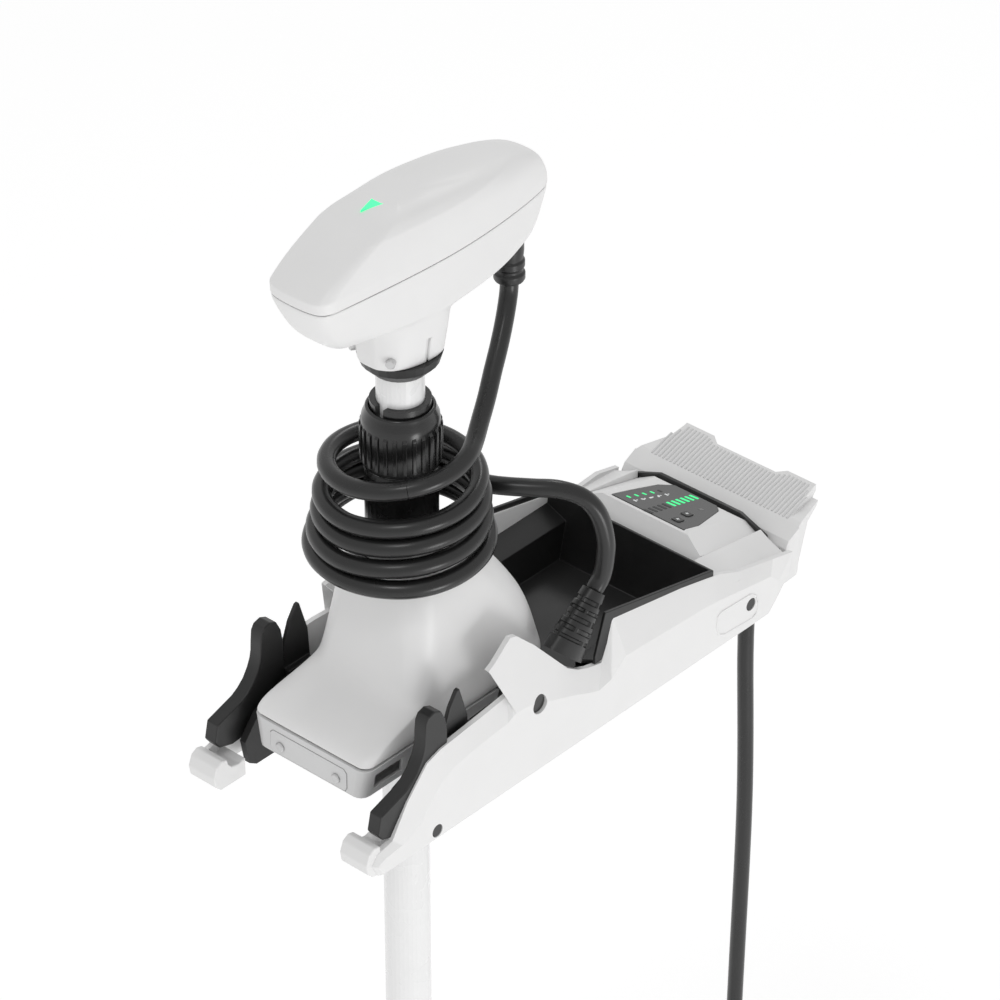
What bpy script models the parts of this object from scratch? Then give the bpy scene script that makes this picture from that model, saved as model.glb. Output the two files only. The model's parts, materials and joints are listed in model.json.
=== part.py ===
"""A bow-mount trolling motor, modelled as the separate pieces that it comes apart into.

The frame is the row's own: +Z up, +Y towards the foot pedal, +X to the right-hand side cover.
The shaft's axis is X = 0, Y = 0, and Z = 0 is the deck that the base is bolted to.
Sizes are in millimetres and become metres when a mesh is written.
"""

from math import atan2, cos, hypot, pi, radians, sin

import bmesh
import bpy
from mathutils import Matrix, Vector

MM = 0.001
GAP = 0.3  # clearance between pieces that touch

# Driving dimensions
SHAFT_R = 19.0  # 1.5 inch composite shaft
SHAFT_WALL = 3.0
SHAFT_TOP = 424.0
POD_Z = -880.0  # height of the propeller's axis
POD_R = 46.0
BASE_HALF_WIDTH = 101.5  # to the flat face of a side cover
RAIL_IN, RAIL_OUT = 72.0, 78.0
COVER_IN, COVER_RIM = 95.0, 99.5
RAMP_IN, RAMP_OUT = 82.0, 94.4
DECK_PLATE = 6.0
PIVOT_Y, PIVOT_Z, PIVOT_R = 48.0, 70.0, 6.0
PEDAL_PIN_Y, PEDAL_PIN_Z, PEDAL_PIN_R = 374.0, 30.0, 4.0
SEAM_Z = 67.0  # the split between the housing's two shells
HOUSING_TOP = 195.0
SLEEVE_R, SLEEVE_BORE, COLLAR_R = 24.0, 19.6, 29.0
KNOB_R, KNOB_LOW, KNOB_HIGH = 32.5, 277.0, 330.0
COLLET_TOP = 336.0
GEAR_LOW, GEAR_HIGH = 56.0, 63.0
GEAR_TEETH, PINION_TEETH, GEAR_MODULE = 48, 12, 1.5
PINION_DISTANCE = GEAR_MODULE * (GEAR_TEETH + PINION_TEETH) / 2
NECK_LOW, HEAD_BASE, HEAD_SEAM = 379.3, 424.0, 467.4
CABLE_R = 7.5
COIL_LOW, COIL_HIGH = 196.6, 289.0
LEAD_R = 7.0
LEAD_X, LEAD_Y, LEAD_LENGTH = 86.5, 324.0, 860.0
WALL = 3.0

FINISHES = {}


def clear_scene():
    for thing in list(bpy.data.objects):
        bpy.data.objects.remove(thing, do_unlink=True)


def finish(name, colour, roughness, metallic=0.0):
    """A plain Principled material, made once for each name."""
    if name not in FINISHES:
        material = bpy.data.materials.new(name)
        material.use_nodes = True
        shader = material.node_tree.nodes["Principled BSDF"]
        shader.inputs["Base Color"].default_value = (*colour, 1.0)
        shader.inputs["Roughness"].default_value = roughness
        shader.inputs["Metallic"].default_value = metallic
        material.diffuse_color = (*colour, 1.0)
        FINISHES[name] = material
    return FINISHES[name]


def white():
    return finish("white_shell", (0.80, 0.80, 0.80), 0.35)


def black():
    return finish("black_plastic", (0.03, 0.03, 0.032), 0.5)


def rubber():
    return finish("black_rubber", (0.025, 0.025, 0.027), 0.6)


def steel():
    return finish("stainless_steel", (0.62, 0.62, 0.64), 0.3, 1.0)


def bronze():
    return finish("bearing_bronze", (0.55, 0.38, 0.18), 0.4, 1.0)


def nylon():
    return finish("gear_nylon", (0.75, 0.73, 0.66), 0.5)


# ---------------------------------------------------------------- mesh helpers

def put(name, mesh, material, smooth=True):
    """Write a bmesh, in millimetres, as one named object."""
    bmesh.ops.recalc_face_normals(mesh, faces=mesh.faces)
    bmesh.ops.transform(mesh, matrix=Matrix.Scale(MM, 4), verts=mesh.verts)
    data = bpy.data.meshes.new(name)
    mesh.to_mesh(data)
    mesh.free()
    data.materials.append(material)
    if smooth:
        data.shade_smooth()
        data.set_sharp_from_angle(angle=radians(35))
    thing = bpy.data.objects.new(name, data)
    bpy.context.scene.collection.objects.link(thing)
    return thing


def guide(thing):
    """Mark a cutter or a shape to be joined, which is no part of the model."""
    thing.hide_render = True
    thing.display_type = "WIRE"
    return thing


def combine(thing, other, operation):
    step = thing.modifiers.new(operation.lower(), "BOOLEAN")
    step.operation = operation
    step.solver = "EXACT"
    step.object = guide(other)


def cut(thing, *cutters):
    for cutter in cutters:
        combine(thing, cutter, "DIFFERENCE")
    return thing


def join(thing, *others):
    for other in others:
        combine(thing, other, "UNION")
    return thing


def loft(name, sections, material, smooth=True):
    """A closed skin over rings of points that all have the same count."""
    mesh = bmesh.new()
    rings = [[mesh.verts.new(point) for point in section] for section in sections]
    loops = []
    for ring in rings:
        loops.append([mesh.edges.new((ring[i - 1], ring[i])) for i in range(len(ring))])
    for low, high in zip(loops, loops[1:]):
        bmesh.ops.bridge_loops(mesh, edges=low + high)
    mesh.faces.new(rings[0])
    mesh.faces.new(rings[-1])
    return put(name, mesh, material, smooth)


AXES = {"X": (1, 2, 0), "Y": (0, 2, 1), "Z": (0, 1, 2)}


def placed(axis, first, second, along):
    """A point from two coordinates in a plane and one along the axis square to it."""
    point = [0.0, 0.0, 0.0]
    a, b, c = AXES[axis]
    point[a], point[b], point[c] = first, second, along
    return Vector(point)


def prism(name, axis, outline, low, high, material, bevel=0.0):
    """An outline drawn out along an axis."""
    mesh = bmesh.new()
    face = mesh.faces.new([mesh.verts.new(placed(axis, a, b, low)) for a, b in outline])
    grown = bmesh.ops.extrude_face_region(mesh, geom=[face])
    moved = [part for part in grown["geom"] if isinstance(part, bmesh.types.BMVert)]
    bmesh.ops.translate(mesh, verts=moved, vec=placed(axis, 0, 0, high - low))
    if bevel:
        bmesh.ops.bevel(mesh, geom=mesh.edges[:], offset=bevel, segments=1, profile=0.5,
                        affect="EDGES", material=-1, clamp_overlap=True)
    return put(name, mesh, material, smooth=False)


def block(name, low, high, material, bevel=0.0):
    outline = [(low[0], low[1]), (high[0], low[1]), (high[0], high[1]), (low[0], high[1])]
    return prism(name, "Z", outline, low[2], high[2], material, bevel)


def turned(name, axis, centre, profile, material, steps=24):
    """A profile of (radius, place along the axis), turned into a solid; radius 0 closes an end."""
    mesh = bmesh.new()
    a, b, c = AXES[axis]
    points = []
    for radius, along in profile:
        point = [0.0, 0.0, 0.0]
        point[a] = centre[0] + radius
        point[b] = centre[1]
        point[c] = along
        points.append(mesh.verts.new(point))
    on_axis = profile[0][0] == 0 and profile[-1][0] == 0
    pairs = list(zip(points, points[1:]))
    if not on_axis:
        pairs.append((points[-1], points[0]))
    edges = [mesh.edges.new(pair) for pair in pairs]
    turn = [0.0, 0.0, 0.0]
    turn[c] = 1.0
    bmesh.ops.spin(mesh, geom=points + edges, cent=placed(axis, *centre, 0), axis=turn,
                   angle=2 * pi, steps=steps, use_merge=True)
    bmesh.ops.remove_doubles(mesh, verts=mesh.verts, dist=1e-4)
    return put(name, mesh, material)


def rod(name, axis, centre, radius, low, high, material, steps=24):
    return turned(name, axis, centre, [(0, low), (radius, low), (radius, high), (0, high)], material, steps)


def tube(name, axis, centre, bore, radius, low, high, material, steps=24):
    profile = [(bore, low), (radius, low), (radius, high), (bore, high)]
    return turned(name, axis, centre, profile, material, steps)


def mirrored(points):
    """The other half of an outline given on the +X side from front to rear."""
    return points + [(-x, y) for x, y in reversed(points) if x > 0]


def reflected(name, thing, material):
    """The mirror image of a finished piece, on the other side of the middle plane."""
    mesh = bmesh.new()
    mesh.from_mesh(thing.evaluated_get(bpy.context.evaluated_depsgraph_get()).data)
    bmesh.ops.scale(mesh, vec=(-1 / MM, 1 / MM, 1 / MM), verts=mesh.verts)
    return put(name, mesh, material, smooth=False)


def corner(cx, cy, radius, start, steps):
    """A quarter round, anticlockwise from the start angle in degrees."""
    turns = [radians(start + 90 * i / steps) for i in range(steps + 1)]
    return [(cx + radius * cos(turn), cy + radius * sin(turn)) for turn in turns]


def rounded_box(half, front, rear, front_r, rear_r, z, steps=4):
    """A horizontal section: a rectangle with its own corner radius in front and behind."""
    outline = corner(half - front_r, front + front_r, front_r, -90, steps)
    outline += corner(half - rear_r, rear - rear_r, rear_r, 0, steps)
    outline += corner(-half + rear_r, rear - rear_r, rear_r, 90, steps)
    outline += corner(-half + front_r, front + front_r, front_r, 180, steps)
    return [(x, y, z) for x, y in outline]


def smooth_path(knots, count):
    """Points evenly spaced on a Catmull-Rom curve through the knots."""
    fine = []
    last = len(knots) - 1
    for i in range(last):
        p0, p1, p2, p3 = (Vector(knots[min(max(i + k, 0), last)]) for k in (-1, 0, 1, 2))
        for j in range(20):
            t = j / 20
            fine.append(0.5 * (2 * p1 + (p2 - p0) * t + (2 * p0 - 5 * p1 + 4 * p2 - p3) * t * t
                               + (3 * p1 - p0 - 3 * p2 + p3) * t ** 3))
    fine.append(Vector(knots[-1]))
    lengths = [0.0]
    for a, b in zip(fine, fine[1:]):
        lengths.append(lengths[-1] + (b - a).length)
    result = []
    step = 0
    for i in range(count):
        goal = lengths[-1] * i / (count - 1)
        while step < len(fine) - 2 and lengths[step + 1] < goal:
            step += 1
        part = (goal - lengths[step]) / (lengths[step + 1] - lengths[step])
        result.append(fine[step].lerp(fine[step + 1], min(part, 1.0)))
    return result


def cable(name, knots, radius, count, resolution=2):
    """A cable as a curve with a round bevel and filled ends."""
    data = bpy.data.curves.new(name, "CURVE")
    data.dimensions = "3D"
    data.bevel_depth = radius * MM
    data.bevel_resolution = resolution
    data.use_fill_caps = True
    line = data.splines.new("POLY")
    route = smooth_path(knots, count)
    line.points.add(len(route) - 1)
    for point, place in zip(line.points, route):
        point.co = (*(place * MM), 1.0)
    data.materials.append(rubber())
    thing = bpy.data.objects.new(name, data)
    bpy.context.scene.collection.objects.link(thing)
    return thing


def pivot(name, x, y, z):
    """An empty on a joint's axis."""
    empty = bpy.data.objects.new(name, None)
    empty.location = (x * MM, y * MM, z * MM)
    bpy.context.scene.collection.objects.link(empty)
    return empty


def hang(parent, things):
    """Parent pieces to an empty without moving them."""
    offset = Matrix.Translation(-parent.location)
    for thing in things:
        thing.parent = parent
        thing.matrix_parent_inverse = offset


# ---------------------------------------------------------------- mount: frame and covers

# Each line is (y, z) on the cover's rim and the matching (y, z) on its flat outer face.
COVER_LINE = [
    ((-138, 3), (-134, 5)),
    ((-144, 15), (-139, 15)),
    ((-138, 23), (-131, 19)),
    ((-121, 27), (-112, 21)),
    ((-104, 56), (-91, 30)),
    ((-81, 81), (-66, 57)),
    ((-66, 86), (-52, 63)),
    ((-40, 89), (-36, 66)),
    ((-12, 92), (-12, 69)),
    ((11, 95), (10, 71)),
    ((12, 104), (16, 74)),
    ((-5, 125), (20, 74.5)),
    ((2, 128), (23, 74.7)),
    ((23, 141), (28, 74.7)),
    ((30, 139), (34, 74)),
    ((48, 122), (45, 71.5)),
    ((71, 96), (63, 64)),
    ((83, 83), (77, 59)),
    ((95, 75), (91, 54)),
    ((107, 70), (105, 48)),
    ((124, 66), (119, 43)),
    ((131, 82), (134, 46)),
    ((138, 106), (152, 60)),
    ((256, 80), (246, 55)),
    ((272, 76), (268, 53)),
    ((296, 66), (296, 48)),
    ((340, 56), (335, 42)),
    ((366, 50), (346, 32)),
    ((362, 28), (345, 16)),
    ((338, 3), (334, 5)),
    ((100, 3), (100, 5)),
]
COVER_LEAN_FROM, COVER_LEAN = 95.0, 0.16
SCREW_PLACES = {"front": (-72.0, 12.0), "rear": (310.0, 27.0)}


def lean(z):
    """How far the cover's tall rim leans in towards the housing."""
    return max(0.0, z - COVER_LEAN_FROM) * COVER_LEAN


def side_covers():
    rim = [line[0] for line in COVER_LINE]
    face = [line[1] for line in COVER_LINE]
    cover = loft("side_cover_right", [
        [(COVER_IN - lean(z), y, z) for y, z in rim],
        [(COVER_RIM - lean(z), y, z) for y, z in rim],
        [(BASE_HALF_WIDTH, y, z) for y, z in face],
    ], white(), smooth=False)
    prong = block("prong", (68, -143, 3), (96.5, -113, 24), white())
    lip = block("prong_lip", (68, -143.5, 15), (72, -132, 31), white())
    pocket = block("prong_pocket", (72, -139, 7), (93, -117, 40), white())
    shoulder_front = [(67, 40), (67, 73.5), (77, 67), (97, 58), (97, 40)]
    shoulder_rear = [(67, 40), (67, 60), (77, 54), (97, 48), (97, 40)]
    shoulder = loft("shoulder", [
        [(x, 276.0, z) for x, z in shoulder_front],
        [(x, 363.6, z) for x, z in shoulder_rear],
    ], white(), smooth=False)
    join(cover, prong, lip, shoulder)
    cut(cover, pocket)
    for place, (y, z) in SCREW_PLACES.items():
        cut(cover, rod("screw_hole_" + place, "X", (y, z), 5.8, 90, 110, white(), 16))
    cut(cover, rod("cap_hole", "X", (PIVOT_Y, PIVOT_Z - 2), 8.3, 90, 110, white(), 20))
    reflected("side_cover_left", cover, white())


def cover_fasteners(side, sign):
    for place, (y, z) in SCREW_PLACES.items():
        low, high = sorted((sign * (RAIL_OUT + GAP), sign * 101.0))
        rod("cover_screw_" + place + "_" + side, "X", (y, z), 5.5, low, high, black(), 16)
    low, high = sorted((sign * 94.5, sign * 101.2))
    rod("pivot_cap_" + side, "X", (PIVOT_Y, PIVOT_Z - 2), 8.0, low, high, black(), 20)


def base_frame():
    """The aluminium chassis: a deck plate with two side rails that reach forward past the housing."""
    metal = finish("black_aluminium", (0.04, 0.04, 0.042), 0.45, 0.6)
    frame = block("base_frame", (-RAIL_OUT, 128, 0), (RAIL_OUT, 362, DECK_PLATE), metal)
    rail = [(-108, 30), (-104, 8), (-96, 3), (127, 3), (128, 0), (362, 0), (380, 18), (380, 37),
            (366, 37), (270, 37), (128, 50), (66, 60), (60, 86), (36, 86), (30, 70), (-60, 64), (-92, 50)]
    for sign in (-1, 1):
        low, high = sorted((sign * RAIL_IN, sign * RAIL_OUT))
        join(frame, prism("rail", "X", rail, low, high, metal))
    reach = RAIL_OUT + 5
    cut(frame, rod("pivot_hole", "X", (PIVOT_Y, PIVOT_Z), PIVOT_R + GAP, -reach, reach, metal, 24))
    cut(frame,
        rod("pedal_hole", "X", (PEDAL_PIN_Y, PEDAL_PIN_Z), PEDAL_PIN_R + GAP, -reach, reach, metal, 20))
    return frame


def ramps():
    """The rests that cradle the motor when it lies stowed across them, and the guide fins behind."""
    front = [(-131, 37), (-127.5, 53), (-118, 56), (-109, 59), (-100, 62), (-93.5, 66), (-87, 72),
             (-82, 80), (-79, 87), (-77.5, 94), (-77, 103), (-76, 113), (-73, 118), (-66, 120)]
    back = [(-59, 117), (-54, 107), (-52, 95), (-52, 40), (-60, 30), (-112, 26), (-126, 30)]
    fin = [(-52, 61), (-50, 85), (-42, 107), (-34, 119), (-31, 120), (-27, 107), (-22, 91), (-20, 61)]
    for side, sign in (("left", -1), ("right", 1)):
        low, high = sorted((sign * RAMP_IN, sign * RAMP_OUT))
        prism("motor_rest_" + side, "X", front + back, low, high, black())
        low, high = sorted((sign * 84.0, sign * 88.0))
        leaf = prism("guide_fin_" + side, "X", fin, low, high, black())
        low, high = sorted((sign * (RAIL_OUT + GAP), sign * 86.0))
        join(leaf, block("fin_foot_" + side, (low, -50, 47), (high, -22, 66), black()))


def well_tray():
    """The open tub behind the housing, which takes the collar and the coiled cable when stowed."""
    outer = [
        [(x, y, 16.0) for x, y in ((-70, 130), (70, 130), (70, 268), (-70, 268))],
        [(x, y, 52.0) for x, y in ((-70, 126), (70, 126), (70, 273), (-70, 273))],
        [(x, y, 60.0) for x, y in ((-91, 126), (91, 126), (91, 273), (-91, 273))],
        [(x, y, 104.0) for x, y in ((-91, 126), (91, 126), (91, 273), (-91, 273))],
    ]
    inner = [
        [(x, y, 19.0) for x, y in ((-67, 110), (67, 110), (67, 262), (-67, 262))],
        [(x, y, 54.0) for x, y in ((-67, 110), (67, 110), (67, 270), (-67, 270))],
        [(x, y, 63.0) for x, y in ((-88, 110), (88, 110), (88, 270), (-88, 270))],
        [(x, y, 112.0) for x, y in ((-88, 110), (88, 110), (88, 270), (-88, 270))],
    ]
    tray = loft("well_tray", outer, black(), smooth=False)
    cut(tray, loft("tray_hollow", inner, black(), smooth=False))
    cut(tray,
        prism("tray_slope", "X",
              [(125, 64), (131, 82), (138, 104), (256, 79), (280, 74), (280, 130), (110, 130),
                                        (110, 64)], -95, 95, black()))
    return tray


# ---------------------------------------------------------------- mount: display and pedal

LENS_FRONT, LENS_REAR = (296.0, 81.0), (357.5, 65.0)


def slope_z(y):
    """Height of the display's sloping top at a place along the mount."""
    rise = (LENS_REAR[1] - LENS_FRONT[1]) / (LENS_REAR[0] - LENS_FRONT[0])
    return LENS_FRONT[1] + (y - LENS_FRONT[0]) * rise


LENS_OUTLINE = [(-38.2, 295), (40, 295), (41, 313), (30, 352), (22, 360), (-24, 360), (-32, 347), (-36, 318)]


def sloped_plate(name, outline, under, over, material):
    """A flat plate lying along the display's slope, between two depths from it."""
    sections = [[(x, y, slope_z(y) + depth) for x, y in outline] for depth in (under, over)]
    return loft(name, sections, material, smooth=False)


def grown(outline, margin, centre=(0.0, 325.0)):
    """An outline moved outwards by roughly the same margin all round."""
    result = []
    for x, y in outline:
        reach = hypot(x - centre[0], y - centre[1])
        result.append((x + (x - centre[0]) * margin / reach, y + (y - centre[1]) * margin / reach))
    return result


BUTTONS = {"mode_button": (24.5, 306.0), "power_button": (21.0, 322.0)}
BUTTON_HALF = 4.2


def button_outline(centre, margin=0.0):
    x, y = centre
    half = BUTTON_HALF + margin
    return [(x - half, y - half), (x + half, y - half), (x + half, y + half), (x - half, y + half)]


def display():
    side = [(274, 40), (274, 61), (292, 80.6), (297, 81), (358, 64.8), (364, 60), (364, 40)]
    half = 66.6
    cover = prism("display_cover", "X", side, -half, half, white())
    hollow = [(277, 30), (277, 59.5), (293.5, 77.3), (297, 77.6), (357, 61.6), (361, 57.5), (361, 30)]
    cut(cover, prism("display_hollow", "X", hollow, -half + WALL, half - WALL, white()))
    tilt = 5.5
    for sign in (-1, 1):
        edge = [(sign * 40, 90), (sign * 66.9, 81 - tilt), (sign * 75, 81 - tilt), (sign * 75, 95)]
        front = [(x, 270.0, z) for x, z in edge]
        rear = [(x, 372.0, z - 26.5) for x, z in edge]
        cut(cover, loft("display_chamfer", [front, rear], white(), smooth=False))
    cut(cover, sloped_plate("lens_recess", grown(LENS_OUTLINE, 0.5), -1.8, 6, white()))
    glass = finish("dark_lens", (0.05, 0.05, 0.055), 0.15)
    lens = sloped_plate("display_lens", LENS_OUTLINE, -1.5, 0.0, glass)
    sloped_plate("display_board", [(-36, 300), (36, 300), (26, 352), (-26, 352)], -8.6, -7.0,
                         finish("board_green", (0.03, 0.16, 0.07), 0.5))
    for name, centre in BUTTONS.items():
        cut(cover, sloped_plate(name + "_well", button_outline(centre, 0.6), -6, 3, white()))
        cut(lens, sloped_plate(name + "_hole", button_outline(centre, 0.5), -6, 3, glass))
        key = sloped_plate(name, button_outline(centre), -6.0, 0.9,
                           finish("button_grey", (0.12, 0.12, 0.125), 0.45))
        hang(pivot(name + "_slide", *centre, slope_z(centre[1])), [key])


def gasket():
    """The dark seal in the slot between the display cover and the pedal."""
    outline = [(-71, 364.5), (71, 364.5), (70, 367.2), (-70, 367.2)]
    return loft("pedal_gasket", [
        [(x, y, 50.0) for x, y in outline],
        [(x, y, 58.5 - abs(x) / 71 * 3) for x, y in outline],
    ], rubber(), smooth=False)


def pedal():
    skin = [(368, 12), (368, 47), (372, 53), (386, 60), (407, 66.5), (426, 71), (431, 72.5), (431, 66),
            (423, 58),
            (406, 54), (400, 44), (384, 13)]
    plate = prism("foot_pedal", "X", skin, -90, 90, white())
    inside = [(366, 0), (366, 43), (373, 49.5), (386, 56.5), (400, 61), (404, 57), (396, 46), (381, 14),
              (379, 0)]
    cut(plate, prism("pedal_hollow", "X", inside, -84, 84, white()))
    for sign in (-1, 1):
        corner_cut = [(sign * 77, 386), (sign * 71, 428), (sign * 71, 445), (sign * 110, 445),
                      (sign * 110, 350),
                      (sign * 91, 366)]
        cut(plate, prism("pedal_corner", "Z", corner_cut, 61.5, 90, white()))
        lower = [(sign * 89, 386), (sign * 76, 431), (sign * 76, 445), (sign * 110, 445), (sign * 110, 386)]
        cut(plate, prism("pedal_side", "Z", lower, 0, 90, white()))
    notch = [(-43, 433), (-32, 425), (32, 425), (43, 433), (43, 440), (-43, 440)]
    cut(plate, prism("pedal_notch", "Z", notch, 40, 90, white()))
    hang(pivot("pedal_hinge", 0, PEDAL_PIN_Y, PEDAL_PIN_Z), [plate])
    centre = (PEDAL_PIN_Y, PEDAL_PIN_Z)
    rod("pedal_pin", "X", centre, PEDAL_PIN_R, -83.6, 83.6, steel(), 16)
    tube("pedal_spring", "X", centre, PEDAL_PIN_R + GAP, 6.6, -28, 28, steel(), 16)
    hook = [(121, 7), (121, 14), (124, 15.4), (354, 15.4), (354, 24), (358, 24), (358, 7)]
    latch = prism("release_rod", "X", hook, -8, 8, steel())
    hang(pivot("latch_slide", 0, 240, 10), [latch])


def pivot_shaft():
    rod("pivot_shaft", "X", (PIVOT_Y, PIVOT_Z), PIVOT_R, -94.0, 94.0, steel(), 20)


def boot():
    """The ribbed strain relief where the head's cable enters the mount."""
    low, high = Vector((80.0, 98.0, 80.0)), Vector((80.0, 136.0, 122.0))
    up = (high - low).normalized()
    wide = Vector((1.0, 0.0, 0.0))
    tall = up.cross(wide)
    stations = [(0.0, 13.6, 23.0), (0.22, 13.2, 20.5), (0.45, 12.4, 17.5), (0.7, 11.2, 14.0),
                (1.0, 9.6, 10.2)]
    sections = []
    for part, half_x, half_y in stations:
        centre = low.lerp(high, part)
        turns = [2 * pi * i / 20 for i in range(20)]
        sections.append([centre + wide * half_x * cos(t) + tall * half_y * sin(t) for t in turns])
    return loft("cable_boot", sections, rubber())


def power_lead():
    block("power_grommet", (RAIL_OUT + GAP, LEAD_Y - 12, 5.0), (94.6, LEAD_Y + 12, 20), rubber(), bevel=1.5)
    knots = [(LEAD_X, LEAD_Y, 4.7), (LEAD_X, LEAD_Y, -40), (LEAD_X + 3, LEAD_Y + 2, -200),
             (LEAD_X - 2, LEAD_Y + 4, -450), (LEAD_X, LEAD_Y + 1, -700), (LEAD_X, LEAD_Y, 4.7 - LEAD_LENGTH)]
    cable("power_lead", knots, LEAD_R, 30)
    top = 4.4 - LEAD_LENGTH
    profile = [(0, top - 62), (13, top - 62), (16, top - 58), (16, top - 26), (12, top - 20), (9.5, top),
               (0, top)]
    turned("power_plug", "Z", (LEAD_X, LEAD_Y), profile, black(), 16)


# ---------------------------------------------------------------- steering housing

# (z, half width, front y, rear y, front corner radius, rear corner radius)
HOUSING_SECTIONS = [
    (35.5, 44, -103, 98, 5, 20),
    (39.5, 57, -110, 104, 9, 26),
    (SEAM_Z, 62, -110, 111, 10, 30),
    (74, 62, -107, 112, 12, 30),
    (79, 60.5, -99, 112, 14, 30),
    (86, 58.5, -72, 112, 18, 32),
    (92, 57.5, -51, 112, 20, 34),
    (104, 56.5, -46, 110, 20, 36),
    (126, 55, -41, 103, 22, 38),
    (150, 53, -38.5, 88, 26, 40),
    (172, 50.5, -37.5, 72, 30, 40),
    (186, 47.5, -37, 58, 33, 40),
    (HOUSING_TOP, 43, -36, 47, 36, 36),
]


def section_at(height):
    """The housing's outer section at any height, between the two stated ones."""
    for low, high in zip(HOUSING_SECTIONS, HOUSING_SECTIONS[1:]):
        if low[0] <= height <= high[0]:
            part = (height - low[0]) / (high[0] - low[0])
            return [a + (b - a) * part for a, b in zip(low, high)]
    return list(HOUSING_SECTIONS[-1])


def housing_ring(height, inset=0.0, z=None):
    _, half, front, rear, front_r, rear_r = section_at(height)
    place = height if z is None else z
    radii = (max(front_r - inset, 2.0), max(rear_r - inset, 2.0))
    return rounded_box(half - inset, front + inset, rear - inset, *radii, place)


def housing():
    heights = [row[0] for row in HOUSING_SECTIONS]
    upper = [SEAM_Z + GAP] + [z for z in heights if z > SEAM_Z]
    shell = loft("housing_shell", [housing_ring(z) for z in upper], white())
    hollow = [(SEAM_Z - 4, SEAM_Z + GAP)] + [(z - WALL, z) for z in upper[1:-1]] + [(HOUSING_TOP - 4,
                                                                                     HOUSING_TOP - 3)]
    cut(shell, loft("housing_hollow", [housing_ring(h, WALL, z) for z, h in hollow], white()))
    cut(shell, rod("sleeve_way", "Z", (0, 0), 25.0, 100, 220, white(), 32))
    lower = [z for z in heights if z <= SEAM_Z]
    grey = finish("pale_grey_shell", (0.62, 0.62, 0.62), 0.4)
    pan = loft("housing_lower_cover", [housing_ring(z) for z in lower], grey)
    floor = [(lower[0] + WALL, lower[0] + WALL), (lower[1] + WALL, lower[1] + WALL), (SEAM_Z + 4, SEAM_Z)]
    cut(pan, loft("pan_hollow", [housing_ring(h, WALL, z) for z, h in floor], grey))
    cut(pan, rod("pan_way", "Z", (0, 0), 25.0, 20, 60, grey, 32))
    cut(pan, block("nose_slot", (50, -98, 46), (75, -66, 60), grey))
    for piece in (shell, pan):
        cut(piece, rod("pivot_way", "X", (PIVOT_Y, PIVOT_Z), PIVOT_R + 0.4, -80, 80, white(), 20))
    plate_outline = [(-39, 41), (39, 41), (41, 44), (41, 58), (38, 61), (-38, 61), (-41, 58), (-41, 44)]
    cut(pan, prism("nameplate_recess", "Y", [(x * 1.012, 51 + (z - 51) * 1.05) for x, z in plate_outline],
                   -112, -109.2, grey))
    plate = prism("nameplate", "Y", plate_outline, -110.4, -109.5, grey)
    screws = []
    for side, sign in (("left", -1), ("right", 1)):
        place = (sign * 30.0, 49.0)
        hole = rod("plate_hole_" + side, "Y", place, 2.3, -115, -100, grey, 12)
        cut(plate, hole)
        cut(pan, hole)
        screws.append(turned("nameplate_screw_" + side, "Y", place,
                             [(0, -112.3), (3.2, -112.3), (4.2, -111.5), (4.2, -110.7), (2, -110.7),
                              (2, -103),
                              (0, -103)], steel(), 16))
    bearings = [
        tube("upper_bearing", "Z", (0, 0), SLEEVE_R + GAP, 33.0, 178, 188, bronze()),
        tube("lower_bearing", "Z", (0, 0), SLEEVE_R + GAP, 33.0, 39.2, 46, bronze()),
    ]
    motor = turned("steer_motor", "Z", (0, -PINION_DISTANCE),
                   [(0, 40), (12, 40), (12, 50), (4, 50), (4, 54), (0, 54)], black(), 20)
    hang(pivot("stow_pivot", 0, PIVOT_Y, PIVOT_Z), [shell, pan, plate, motor, *screws, *bearings])


def gear_outline(teeth, centre, phase):
    """Straight-sided teeth with backlash; a tooth is centred on the phase angle in degrees."""
    pitch_r = GEAR_MODULE * teeth / 2
    steps = [(-0.33, -1.25), (-0.13, 0.85), (0.13, 0.85), (0.33, -1.25)]
    outline = []
    for tooth in range(teeth):
        for share, height in steps:
            turn = radians(phase) + 2 * pi * (tooth + share * 0.62) / teeth
            radius = pitch_r + height * GEAR_MODULE
            outline.append((centre[0] + radius * cos(turn), centre[1] + radius * sin(turn)))
    return outline


def steering():
    sleeve = turned("steer_sleeve", "Z", (0, 0), [
        (SLEEVE_BORE, 30), (SLEEVE_R, 30), (SLEEVE_R, 197), (31.7, 197), (31.7, 214), (COLLAR_R, 217),
        (COLLAR_R, 272), (26, 276), (SLEEVE_BORE, 276)], black(), 32)
    gear = prism("steer_gear", "Z", gear_outline(GEAR_TEETH, (0, 0), -90), GEAR_LOW, GEAR_HIGH, nylon())
    cut(gear, rod("gear_bore", "Z", (0, 0), SLEEVE_R + GAP, 40, 80, nylon(), 32))
    hang(pivot("steer_axis", 0, 0, 60), [sleeve, gear])
    centre = (0, -PINION_DISTANCE)
    half_tooth = 180 / PINION_TEETH
    pinion = prism("steer_pinion", "Z", gear_outline(PINION_TEETH, centre, 90 + half_tooth), GEAR_LOW,
                   GEAR_HIGH,
                   steel())
    cut(pinion, rod("pinion_bore", "Z", centre, 4.2, 50, 70, steel(), 12))
    hang(pivot("pinion_axis", *centre, 60), [pinion])


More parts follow.
